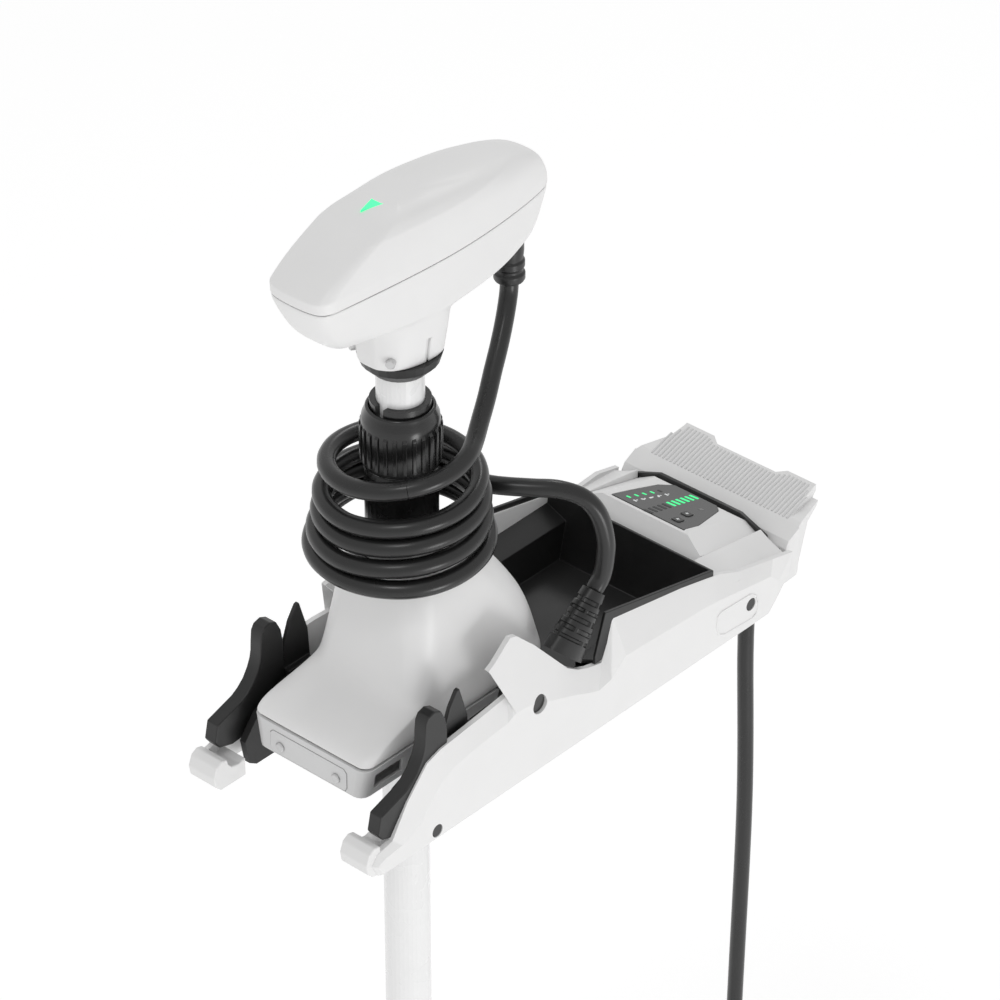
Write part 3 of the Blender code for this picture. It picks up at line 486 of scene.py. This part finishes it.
# (turns made, radius, height)
COIL = [(0.0, 56.6, 297), (0.3, 57, 281), (0.8, 59.5, 267), (1.3, 62, 251.5), (1.8, 62.5, 247.5),
        (2.05, 63, 243.5), (2.3, 64, 235.5), (2.55, 63.6, 234.6), (2.7, 62.3, 233.2), (3.0, 64, 226.5),
        (3.3, 69, 219.3), (3.55, 66, 218.4), (3.7, 63.5, 217.3), (3.85, 65, 214), (4.0, 68, 209),
        (4.15, 69.5, 204.8), (4.3, 70, 203.8), (4.5, 71.5, 203.8), (4.6, 76, 207.5), (4.7, 80, 212.5),
        (4.8, 83, 217)]
LEAD_SPLIT = 5  # the point of the lead where its two lengths meet
COIL_SPLIT = 4  # the step of the coil where the second length ends
TAIL = [(14, 85.5, 219), (28, 92, 220), (44, 103.5, 220), (59, 117, 218.5), (73, 130, 210.5), (82, 138, 195),
        (86, 142.5, 170), (85, 143, 148), (82.3, 142, 133), (80, 137, 123.1)]
POWER_EXIT, POWER_LENGTH = (86.5, 324.0, 4.7), 860.0
POWER_LEAD = [POWER_EXIT, (86.5, 324, -40), (89.5, 326, -200), (84.5, 328, -450), (86.5, 325, -700),
              (86.5, 324, 4.7 - POWER_LENGTH)]


def coil_point(turns):
    """A place on the coil, with its radius and height eased between the stated turns."""
    for low, high in zip(COIL, COIL[1:]):
        if low[0] <= turns <= high[0]:
            part = (turns - low[0]) / (high[0] - low[0])
            radius = low[1] + (high[1] - low[1]) * part
            height = low[2] + (high[2] - low[2]) * part
            angle = COIL_START - 2 * pi * turns
            return (radius * cos(angle), radius * sin(angle), height)
    raise ValueError(turns)


def cables():
    """One cable from the head to the mount, in four lengths that each cross one joint, and the power lead."""
    per_turn = 24
    count = round(COIL[-1][0] * per_turn)
    coil = [coil_point(i / per_turn) for i in range(0, count + 1)]
    whole = smooth_path(HEAD_LEAD[:-1] + coil + TAIL, 3.0)

    def nearest(point):
        goal = Vector(point)
        return min(range(len(whole)), key=lambda i: (whole[i] - goal).length)

    cuts = [0, nearest(HEAD_LEAD[LEAD_SPLIT]), nearest(coil[COIL_SPLIT]), nearest(coil[-1]), len(whole) - 1]
    spans = (
        ("coil_cable_from_head", "coil_cable_lead", "shaft", "collar", (1, 122, 375), (24, 75, 321),
         "hanging"),
        ("coil_cable_to_coil", "coil_cable_lead", "collar", "sleeve", (29, 65, 314), (50, 25, 298),
         "hanging"),
        ("coil_cable_coiled", "coil_cable_coil", "sleeve", "steering_housing", (0, 0, 280), (0, 0, 222),
         "coiled"),
        ("coil_cable_to_mount", "coil_cable_tail", "steering_housing", "mount", (20, 90, 230), (84, 144, 160),
         "hanging"),
    )
    for i, (name, node, first, second, start, end, lay) in enumerate(spans):
        path = whole[cuts[i]:cuts[i + 1] + 1]
        piece = tube(name, path, CABLE_R, JACKET, 5)
        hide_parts(node)
        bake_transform(piece)
    lead = smooth_path(POWER_LEAD, 10.0)
    piece = tube("power_lead_fine", lead, LEAD_R, JACKET, 5)
    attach(piece, "mount")
    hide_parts("power_lead")


# ---------------------------------------------------------------- head

HEAD_BASE, HEAD_SEAM, NECK_LOW = 424.0, 467.4, 379.3


def head_ring(z, front, rear, nose, waist, tail):
    """A horizontal section of the head: a blunt nose, a wide waist and a narrower tail."""
    length = rear - front
    half = [(nose * 0.7, front), (nose, front + 6), (nose + 2.5, front + 14),
            (waist * 0.93, front + length * 0.27), (waist, front + length * 0.48),
            (waist * 0.96, front + length * 0.63), (waist * 0.83, front + length * 0.8),
            (tail, rear - 16), (tail * 0.8, rear - 5), (tail * 0.4, rear)]
    return [(x, y, z) for x, y in half] + [(-x, y, z) for x, y in reversed(half)]


def neck_ring(radius, z):
    """A round section whose points face those of the head's base."""
    turns = [atan2(y, x) for x, y, _ in head_ring(HEAD_BASE, -86, 128, 19, 32, 19)]
    return [(radius * cos(t), radius * sin(t), z) for t in turns]


def creased(piece, weights, nose=0.0):
    """Hold the rings at some heights firm under subdivision, and the edges that run up the nose's corners."""
    data = piece.data
    crease = data.attributes.new("crease_edge", "FLOAT", "EDGE")
    ring = len(head_ring(0, 0, 1, 1, 1, 1))
    corners = (2, ring - 3)
    for edge in data.edges:
        ends = [data.vertices[i].co.z / MM for i in edge.vertices]
        if all(i % ring in corners for i in edge.vertices):
            crease.data[edge.index].value = nose
        for height, weight in weights.items():
            if all(abs(z - height) < 0.05 for z in ends):
                crease.data[edge.index].value = weight
    return piece


def head():
    lower = [neck_ring(35.5, NECK_LOW), neck_ring(36.2, NECK_LOW + 5), neck_ring(38.2, 396),
             neck_ring(40, 410), neck_ring(41.5, 419)]
    rows = [(HEAD_BASE - 1, -76, 120, 16, 36, 17), (HEAD_BASE + 1.5, -89, 130, 20.5, 36.3, 20.5),
            (HEAD_BASE + 9, -99, 140, 24, 36.8, 23), (HEAD_SEAM - 10, -111.5, 149, 27.2, 38, 24),
            (HEAD_SEAM - 1.2, -114.6, 151.6, 28.3, 38.4, 24.8), (HEAD_SEAM, -114, 151, 27.8, 37.9, 24.3)]
    lower += [head_ring(*row) for row in rows]
    shell = put("head_lower_fine", loft(lower), WHITE, "shaft", ("head_lower_shell",), 0)
    softened(creased(shell, {NECK_LOW: 1.0, NECK_LOW + 5: 0.6, HEAD_BASE + 1.5: 0.75, HEAD_SEAM: 1.0}), 3)
    carved(shell, put("slit", block((20, -1.2, 370), (50, 1.2, 401)), WHITE, None))
    top = [(HEAD_SEAM + 0.9, -114, 151, 27.8, 37.9, 24.3), (HEAD_SEAM + 2.2, -115, 152, 28.4, 38.5, 25),
           (478, -115.3, 151.2, 28.6, 38.6, 25), (488, -103, 147.5, 28.5, 38.6, 24.6),
           (498, -85, 140, 28.5, 38.2, 23.5), (507, -65, 112, 28.5, 36.5, 22),
           (513.5, -47, 70, 26, 31.5, 20), (516.6, -36, 36, 17, 20, 15), (517.4, -24, 20, 9, 10, 8)]
    cap = put("head_upper_fine", loft([head_ring(*row) for row in top]), WHITE, "shaft",
              ("head_upper_shell",), 0)
    softened(creased(cap, {HEAD_SEAM + 0.9: 1.0, HEAD_SEAM + 2.2: 0.5, 478: 0.55, 507: 0.7}, 0.55), 3)
    line = [head_ring(z, -113.2, 150.2, 27.2, 37.2, 23.7) for z in (HEAD_SEAM - 0.4, HEAD_SEAM + 1.4)]
    seal = put("head_seam_seal", loft(line), RUBBER, "shaft", (), 0)
    softened(creased(seal, {HEAD_SEAM - 0.4: 1.0, HEAD_SEAM + 1.4: 1.0}))
    gland = turned([(0, 384), (11.4, 384), (12.5, 386), (12.5, 391), (10.8, 393), (10.8, 395), (12.2, 397),
                    (12.2, 402), (10.8, 404), (11.5, 411), (11.5, 424), (0, 424)], (0, 124))
    rounded(put("head_gland_fine", gland, RUBBER, "shaft", ("head_gland",)), 0.5)


# ---------------------------------------------------------------- steering housing

# (z, half width, front y, rear y, front corner radius, rear corner radius)
HOUSING_SECTIONS = [
    (68.0, 61.2, -109.2, 110.2, 9.5, 29.5),
    (69.5, 62, -110, 111, 10, 30),
    (74, 62, -107, 112, 12, 30),
    (79, 60.5, -99, 112, 14, 30),
    (86, 58.5, -72, 112, 18, 32),
    (92, 57.5, -51, 112, 20, 34),
    (104, 56.5, -46, 110, 20, 36),
    (126, 55, -41, 103, 22, 38),
    (150, 53, -38.5, 88, 26, 40),
    (172, 50.5, -37.5, 72, 30, 40),
    (186, 47.5, -37, 58, 33, 40),
    (194, 43, -36, 47, 36, 36),
    (195, 33, -30, 36, 30, 30),
]


def rounded_ring(z, half, front, rear, front_r, rear_r, steps=6):
    """A horizontal section: a rectangle with its own corner radius in front and behind."""
    outline = []
    for cx, cy, radius, start in ((half - front_r, front + front_r, front_r, -90),
                                  (half - rear_r, rear - rear_r, rear_r, 0),
                                  (-half + rear_r, rear - rear_r, rear_r, 90),
                                  (-half + front_r, front + front_r, front_r, 180)):
        for i in range(steps + 1):
            turn = radians(start + 90 * i / steps)
            outline.append((cx + radius * cos(turn), cy + radius * sin(turn), z))
    return outline


def housing():
    mesh = loft([rounded_ring(*row) for row in HOUSING_SECTIONS])
    shell = put("housing_fine", mesh, WHITE, "steering_housing", ("housing_shell",), 0)
    softened(shell)
    refined("housing_lower_cover", PALE, 0.8)
    refined("nameplate", PALE, 0.2, 2)


# ---------------------------------------------------------------- depth collar

KNOB_LOW, KNOB_HIGH, KNOB_R = 277.0, 330.0, 32.4
KNOB_RIBS, RIB_HALF, RIB_ROOT = 26, 1.7, 28.5
RIB_LOW, RIB_HIGH, RIB_SLOPE = 283, 318.5, 5  # the slope is how much lower a rib's outer end is than its root


def collar():
    body = turned([(24.7, KNOB_LOW), (28.5, KNOB_LOW), (30.6, 279), (30.9, 284), (30.9, 316), (30.2, 321),
                   (28.2, 325.5), (27.4, 329), (26.2, KNOB_HIGH), (24.7, KNOB_HIGH), (24.7, KNOB_LOW)])
    for i in range(KNOB_RIBS):
        rib = box_mesh(body, (RIB_ROOT, -RIB_HALF, RIB_LOW), (KNOB_R, RIB_HALF, RIB_HIGH))
        for vert in rib:
            if vert.co.z > 300 and vert.co.x > 30:
                vert.co.z -= RIB_SLOPE
        turn = Matrix.Rotation(2 * pi * i / KNOB_RIBS, 3, "Z")
        bmesh.ops.rotate(body, verts=rib, cent=(0, 0, 0), matrix=turn)
    rounded(put("depth_knob_fine", body, SATIN, "knob", ("depth_knob",)), 0.7)
    refined("depth_collet", SATIN, 0.7)


# ---------------------------------------------------------------- cable boot

BOOT_LOW, BOOT_HIGH = Vector((80.0, 98.0, 80.0)), Vector((80.0, 136.0, 122.0))
# (share of the length, half width across, half width fore and aft)
BOOT_SHAPE = [(0.0, 13.6, 23.0), (0.22, 13.2, 20.5), (0.45, 12.4, 17.5), (0.7, 11.2, 14.0), (1.0, 9.6, 10.2)]
BOOT_ROWS, BOOT_SIDES, BOOT_STEPS, GROOVE = 5, 48, 60, 1.5
ROWS_FROM, ROWS_SHARE = 0.22, 0.72  # where the rows begin and what they take up, as shares of the length
GROOVE_SHARE, WEB_SHARE, WEBS = 0.42, 0.16, 4  # of a row's pitch, of a groove's run, and webs round the boot


def boot_half(part):
    """The boot's two half widths at a share of its length."""
    for low, high in zip(BOOT_SHAPE, BOOT_SHAPE[1:]):
        if part <= high[0]:
            share = (part - low[0]) / (high[0] - low[0])
            return [a + (b - a) * share for a, b in zip(low[1:], high[1:])]
    return BOOT_SHAPE[-1][1:]


def boot():
    """The cable's strain relief, with rows of short grooves that let it bend."""
    up = (BOOT_HIGH - BOOT_LOW).normalized()
    wide = Vector((1.0, 0.0, 0.0))
    tall = up.cross(wide)
    sections = []
    for step in range(BOOT_STEPS + 1):
        part = step / BOOT_STEPS
        across, along = boot_half(part)
        row = (part - ROWS_FROM) / ROWS_SHARE * BOOT_ROWS
        in_row = 0 <= row < BOOT_ROWS and row % 1.0 < GROOVE_SHARE
        ring = []
        for i in range(BOOT_SIDES):
            turn = 2 * pi * i / BOOT_SIDES
            web = (i / BOOT_SIDES * WEBS + 0.5 * (int(row) % 2)) % 1.0 < WEB_SHARE
            inset = GROOVE if in_row and not web else 0.0
            ring.append(BOOT_LOW.lerp(BOOT_HIGH, part) + wide * (across - inset) * cos(turn)
                        + tall * (along - inset) * sin(turn))
        sections.append(ring)
    put("cable_boot_fine", loft(sections), RUBBER, "mount", ("cable_boot",), 30)


# ---------------------------------------------------------------- display

LENS_FRONT, LENS_REAR = (296.0, 81.0), (357.5, 65.0)
LENS_OUTLINE = [(-38.2, 295), (40, 295), (41, 313), (30, 352), (22, 360), (-24, 360), (-32, 347), (-36, 318)]
BUTTONS = {"mode_button": (24.5, 306.0), "power_button": (21.0, 322.0)}
# (y, height of the top, where its chamfer starts, height of the chamfer's outer edge)
COVER_STATIONS = [(274, 61, 66.4, 60.9), (285, 72.8, 65.8, 72.3), (288, 76.2, 57.2, 71.0),
                  (292, 80.6, 46.9, 70.0), (297, 81, 43.7, 68.7), (358, 64.8, 44.3, 52.8),
                  (364, 60, 50.4, 51.2)]
COVER_HALF, COVER_BASE = 66.6, 40.0
LENS_MIDDLE_Y, RECESS_GROWTH = 325.0, 0.014
MARK_SUNK, MARK_PROUD, SIGN_PROUD, BORDER_PROUD = -0.2, 0.14, 0.13, 0.12  # depths of marks from the slope
MARK_TURN = 0.12  # radians
BAR_COUNT, BARS_DARK, BAR_FIRST, BAR_PITCH = 11, 5, 296.5, 5.9
LAMP_COUNT, LAMPS_LIT, LAMP_FIRST, LAMP_STEP = 5, 4, (-27.5, 304), (1.3, 8.6)


def slope_z(y):
    rise = (LENS_REAR[1] - LENS_FRONT[1]) / (LENS_REAR[0] - LENS_FRONT[0])
    return LENS_FRONT[1] + (y - LENS_FRONT[0]) * rise


def sloped(outline, under, over):
    """A flat plate lying along the display's slope, between two depths from it."""
    return loft([[(x, y, slope_z(y) + depth) for x, y in outline] for depth in (under, over)])


def patch(centre, half_x, half_y, turn=0.0):
    """A small rectangle on the slope, turned in its plane, with its corners clipped."""
    clip = min(half_x, half_y) * 0.35
    outline = [(-half_x + clip, -half_y), (half_x - clip, -half_y), (half_x, -half_y + clip),
               (half_x, half_y - clip), (half_x - clip, half_y), (-half_x + clip, half_y),
               (-half_x, half_y - clip), (-half_x, -half_y + clip)]
    return [(centre[0] + x * cos(turn) - y * sin(turn), centre[1] + x * sin(turn) + y * cos(turn))
            for x, y in outline]


def merged(meshes):
    """One bmesh from several."""
    whole = bmesh.new()
    for mesh in meshes:
        data = bpy.data.meshes.new("part")
        mesh.to_mesh(data)
        mesh.free()
        whole.from_mesh(data)
        bpy.data.meshes.remove(data)
    return whole


def frame_line(outline, width):
    """A thin closed line on the slope, as a ring of short bars."""
    bars = []
    for i, (x, y) in enumerate(outline):
        nx, ny = outline[(i + 1) % len(outline)]
        long = hypot(nx - x, ny - y)
        dx, dy = (nx - x) / long * width, (ny - y) / long * width
        bar = [(x - dx / 2 - dy / 2, y - dy / 2 + dx / 2), (nx + dx / 2 - dy / 2, ny + dy / 2 + dx / 2),
               (nx + dx / 2 + dy / 2, ny + dy / 2 - dx / 2), (x - dx / 2 + dy / 2, y - dy / 2 - dx / 2)]
        bars.append(sloped(bar, MARK_SUNK, BORDER_PROUD))
    return merged(bars)


def display():
    sections = []
    for y, top, start, edge in COVER_STATIONS:
        sections.append([(-COVER_HALF, y, COVER_BASE), (COVER_HALF, y, COVER_BASE), (COVER_HALF, y, edge),
                         (start, y, top), (-start, y, top), (-COVER_HALF, y, edge)])
    cover = put("display_cover_fine", loft(sections), WHITE, "mount", ("display_cover",), 12)
    grown = [(x + x * RECESS_GROWTH, y + (y - LENS_MIDDLE_Y) * RECESS_GROWTH) for x, y in LENS_OUTLINE]
    carved(cover, put("recess", sloped(grown, -1.8, 6), WHITE, None))
    rounded(cover, 1.0, 3, 14)
    lens = put("display_lens_fine", sloped(LENS_OUTLINE, -1.6, 0.0), LENS_GLASS, "mount", ("display_lens",))
    carved(lens, *(put("hole", sloped(patch(centre, 4.5, 4.5), -6, 4), LENS_GLASS, None)
                   for centre in BUTTONS.values()))
    rounded(lens, 0.3, 2)
    bars = [(0.5, BAR_FIRST + BAR_PITCH * i) for i in range(BAR_COUNT)]
    lamps = [(LAMP_FIRST[0] + LAMP_STEP[0] * i, LAMP_FIRST[1] + LAMP_STEP[1] * i) for i in range(LAMP_COUNT)]
    rows = (("level_bars_dark", bars[:BARS_DARK], (4.6, 1.5), BLACK),
            ("level_bars_lit", bars[BARS_DARK:], (4.6, 1.5), GREEN_BAR),
            ("status_lamps_lit", lamps[:LAMPS_LIT], (2.2, 1.1), GREEN_BAR),
            ("status_lamp_dark", lamps[LAMPS_LIT:], (2.2, 1.1), BLACK))
    for name, places, half, material in rows:
        shapes = [sloped(patch(place, *half, MARK_TURN), MARK_SUNK, MARK_PROUD) for place in places]
        put(name, merged(shapes), material, "mount")
    signs = []
    for i, (x, y) in enumerate(lamps):
        signs.append(sloped(patch((x + 8.0, y - 1.0), 1.8, 1.0, 0.8 * i), MARK_SUNK, SIGN_PROUD))
        signs.append(sloped(patch((x + 8.0, y + 1.6), 0.7, 0.7), MARK_SUNK, SIGN_PROUD))
    put("status_signs", merged(signs), ICON_WHITE, "mount")
    put("ambient_sensor", sloped(patch((20.5, 341), 2.0, 1.8), MARK_SUNK, SIGN_PROUD), ICON_GREY, "mount")
    for name, centre in BUTTONS.items():
        key = sloped(patch(centre, 4.2, 4.2), -4.0, 0.9)
        rounded(put(name + "_fine", key, KEY_GREY, name, (name,)), 0.4)
        mark = [sloped(patch(centre, *half, 0.4), 0.8, 1.02) for half in ((0.5, 1.5), (1.5, 0.5))]
        put(name + "_mark", merged(mark), ICON_WHITE, name)
        put(name + "_border", frame_line(patch(centre, 5.3, 5.3), 0.45), ICON_GREY, "mount")
    gasket()


def gasket():
    """The dark seal that stands a little proud between the display cover and the pedal."""
    line = [(-72, 53.5), (-66, 56), (-44, 64.6), (44, 64.6), (66, 56), (72, 53.5)]
    front, rear = 363.2, 366.8
    sections = [[(x, front, z - 9), (x, rear, z - 9), (x, rear, z + 0.6), (x, front, z + 0.6)]
                for x, z in line]
    rounded(put("pedal_gasket_fine", loft(sections), RUBBER, "mount", ("pedal_gasket",)), 0.6)


# ---------------------------------------------------------------- foot pedal

PEDAL_SLOPE = [(386.0, 60.0), (407.0, 66.5), (426.0, 71.0)]
PEDAL_RIBS, PEDAL_REACH = 37, 74.0


def pedal_rib(x):
    """One low ridge from the front of the pedal's tread to its rear edge."""
    taper = max(0.0, abs(x) - 66.0) * 1.6
    rear = 427.5 - taper
    if abs(x) < 43:
        rear = min(rear, 422.0 + max(0.0, abs(x) - 33) * 0.5)
    front = 388.5
    middle = PEDAL_SLOPE[1]
    knots = [(front, PEDAL_SLOPE[0][1] + 0.8), middle]
    if rear > middle[0]:
        rise = (PEDAL_SLOPE[2][1] - middle[1]) / (PEDAL_SLOPE[2][0] - middle[0])
        knots.append((rear, middle[1] + (rear - middle[0]) * rise))
    return loft([[(x - 1.2, y, z - 0.4), (x + 1.2, y, z - 0.4), (x + 0.7, y, z + 0.8), (x - 0.7, y, z + 0.8)]
                 for y, z in knots])


def pedal():
    refined("foot_pedal", WHITE, 1.0, 3, 12)
    pitch = 2 * PEDAL_REACH / (PEDAL_RIBS - 1)
    ribs = [pedal_rib(-PEDAL_REACH + pitch * i) for i in range(PEDAL_RIBS)]
    put("pedal_tread", merged(ribs), TREAD, "pedal", (), 20)


# ---------------------------------------------------------------- side covers

LABEL = [(266, 37.5), (271, 40.5), (309, 38.5), (317, 33), (320, 25), (318.5, 15), (313, 12), (275, 14.5),
         (268, 18), (265, 27)]
LABEL_CENTRE, LABEL_FACE = (292.0, 26.5), 101.4


def label_outline(x, inset):
    """The label place's outline on a plane across X, drawn in by a distance."""
    middle_y, middle_z = LABEL_CENTRE
    ring = []
    for y, z in LABEL:
        long = hypot(y - middle_y, z - middle_z)
        ring.append((x, y - (y - middle_y) / long * inset, z - (z - middle_z) / long * inset))
    return ring


def label_place(side, sign):
    """A raised blank panel with a rim round it, at the rear of a side cover."""
    panel = put("label_place_" + side, loft([label_outline(sign * (LABEL_FACE - 1.0), 0),
                                             label_outline(sign * (LABEL_FACE + 0.9), 0)]), WHITE, "mount",
                (), 20)
    carved(panel, put("sunk", loft([label_outline(sign * (LABEL_FACE + 0.25), 1.6),
                                    label_outline(sign * (LABEL_FACE + 4), 1.6)]), WHITE, None))
    carved(panel, put("hole", round_bar(sign, SCREWS["rear"], SCREW_HOLE_R, 95, 110), WHITE, None))
    rounded(panel, 0.35, 2, 20)


# (y, z of the rim, y, z where its slope meets the flat outer face)
COVER_LINE = [
    (-138, 3, -134, 5), (-144, 15, -139, 15), (-138, 23, -131, 19), (-121, 27, -112, 21),
    (-104, 56, -91, 30), (-81, 81, -66, 57), (-66, 86, -52, 63), (-40, 89, -36, 66), (-12, 92, -12, 69),
    (11, 95, 10, 71), (12, 104, 16, 74), (-5, 125, 20, 74.5), (2, 128, 23, 74.7), (23, 141, 28, 74.7),
    (30, 139, 34, 74), (48, 122, 45, 71.5), (71, 96, 63, 64), (83, 83, 77, 59), (95, 75, 91, 54),
    (107, 70, 105, 48), (124, 66, 119, 43), (131, 82, 134, 46), (138, 106, 152, 60), (256, 80, 246, 55),
    (272, 76, 268, 53), (296, 66, 296, 48), (340, 56, 335, 42), (366, 50, 346, 32), (362, 28, 345, 16),
    (338, 3, 334, 5), (100, 3, 100, 5),
]
COVER_FACE, COVER_RIM, COVER_WALL = 101.5, 99.5, 4.5
BACK_PER_INWARD, DOWN_PER_INWARD = 0.616 / 0.555, 0.559 / 0.555  # keeps the rim's place in the main view
HOLE_FIT = 0.3
LEAN_FROM, LEAN = 95.0, 0.16
SCREWS = {"front": (-72.0, 12.0), "rear": (310.0, 27.0)}
PIVOT_CAP = (48.0, 68.0)
SCREW_HOLE_R, CAP_R = 5.8, 8.0


def rim_depth(y, z):
    """How far in from the model's rim the visible one is: more along the well than beside the rests."""
    return 3.5 + 4.5 * min(1.0, max(0.0, (y + 20) / 50)) if z > 45 and y < 300 else 2.0


def cover_mesh(sign):
    """A side cover as a thick plate whose edge slopes down to its flat face."""
    rim, face = [], []
    for rim_y, rim_z, face_y, face_z in COVER_LINE:
        lean = max(0.0, rim_z - LEAN_FROM) * LEAN
        depth = rim_depth(rim_y, rim_z) + lean
        back = depth - lean
        drop = back * DOWN_PER_INWARD * (rim_z > 45)
        rim.append((COVER_RIM - depth, rim_y + back * BACK_PER_INWARD, rim_z - drop))
        face.append((COVER_FACE, face_y, face_z))
    inner = [(x - COVER_WALL, y, z) for x, y, z in rim]
    return loft([[(sign * x, y, z) for x, y, z in ring] for ring in (inner, rim, face)])


def round_bar(sign, place, radius, low, high, sides=32):
    """A round bar across a side cover."""
    y, z = place
    turns = [2 * pi * i / sides for i in range(sides)]
    ring = [(y + radius * cos(turn), z + radius * sin(turn)) for turn in turns]
    return loft([[(sign * x, y, z) for y, z in ring] for x in (low, high)])


def toe(sign):
    """The hooked foot at the front of a side cover, with a dip behind its tip."""
    outline = [(-112, 3), (-140, 3), (-146, 9), (-147.5, 18), (-144, 27), (-138, 30.5), (-132, 29),
               (-131, 24), (-127, 19.5), (-119, 18), (-112, 20)]
    return loft([[(x, y, z) for y, z in outline] for x in sorted((sign * 68, sign * 97))])


# The same (x, z) corners at the front and at the rear of a cover's shoulder, which runs beside the display.
SHOULDER_FRONT = [(67, 40), (67, 73.5), (77, 67), (97, 56), (97, 40)]
SHOULDER_REAR = [(67, 40), (67, 60), (77, 54), (97, 46), (97, 40)]


def shoulder(sign):
    ends = ((276.0, SHOULDER_FRONT), (363.0, SHOULDER_REAR))
    return loft([[(sign * x, y, z) for x, z in ring] for y, ring in ends])


def side_covers():
    for side, sign in (("left", -1), ("right", 1)):
        cover = put("side_cover_%s_fine" % side, cover_mesh(sign), WHITE, "mount", ("side_cover_" + side,),
                    12)
        holes = [(place, SCREW_HOLE_R) for place in SCREWS.values()] + [(PIVOT_CAP, CAP_R + HOLE_FIT)]
        carved(cover, *(put("hole", round_bar(sign, place, radius, 85, 110), WHITE, None)
                        for place, radius in holes))
        rounded(cover, 1.0, 3, 12)
        hook = put("cover_toe_" + side, toe(sign), WHITE, "mount", (), 25)
        rounded(hook, 1.2, 3, 20)
        beside = put("cover_shoulder_" + side, shoulder(sign), WHITE, "mount", (), 12)
        rounded(beside, 1.2, 3, 12)
        label_place(side, sign)
        for place in ("front", "rear"):
            refined("cover_screw_" + place + "_" + side, SATIN, 0.6)
        rounded(put("pivot_cap_%s_fine" % side, round_bar(sign, PIVOT_CAP, CAP_R, 94.5, 99.0), SATIN, "mount",
                    ("pivot_cap_" + side,)), 0.6)


# ---------------------------------------------------------------- the rest, from the model's own shapes

def model_pieces():
    for side in ("left", "right"):
        refined("motor_rest_" + side, BLACK, 1.2)
        refined("guide_fin_" + side, BLACK, 0.8)
    refined("base_frame", ALUMINIUM, 0.8)
    refined("well_tray", BLACK, 1.0)
    refined("power_plug", BLACK, 0.8)


camera()
studio()
floor()
dress_nodes()
cables()
head()
collar()
housing()
side_covers()
boot()
display()
pedal()
model_pieces()
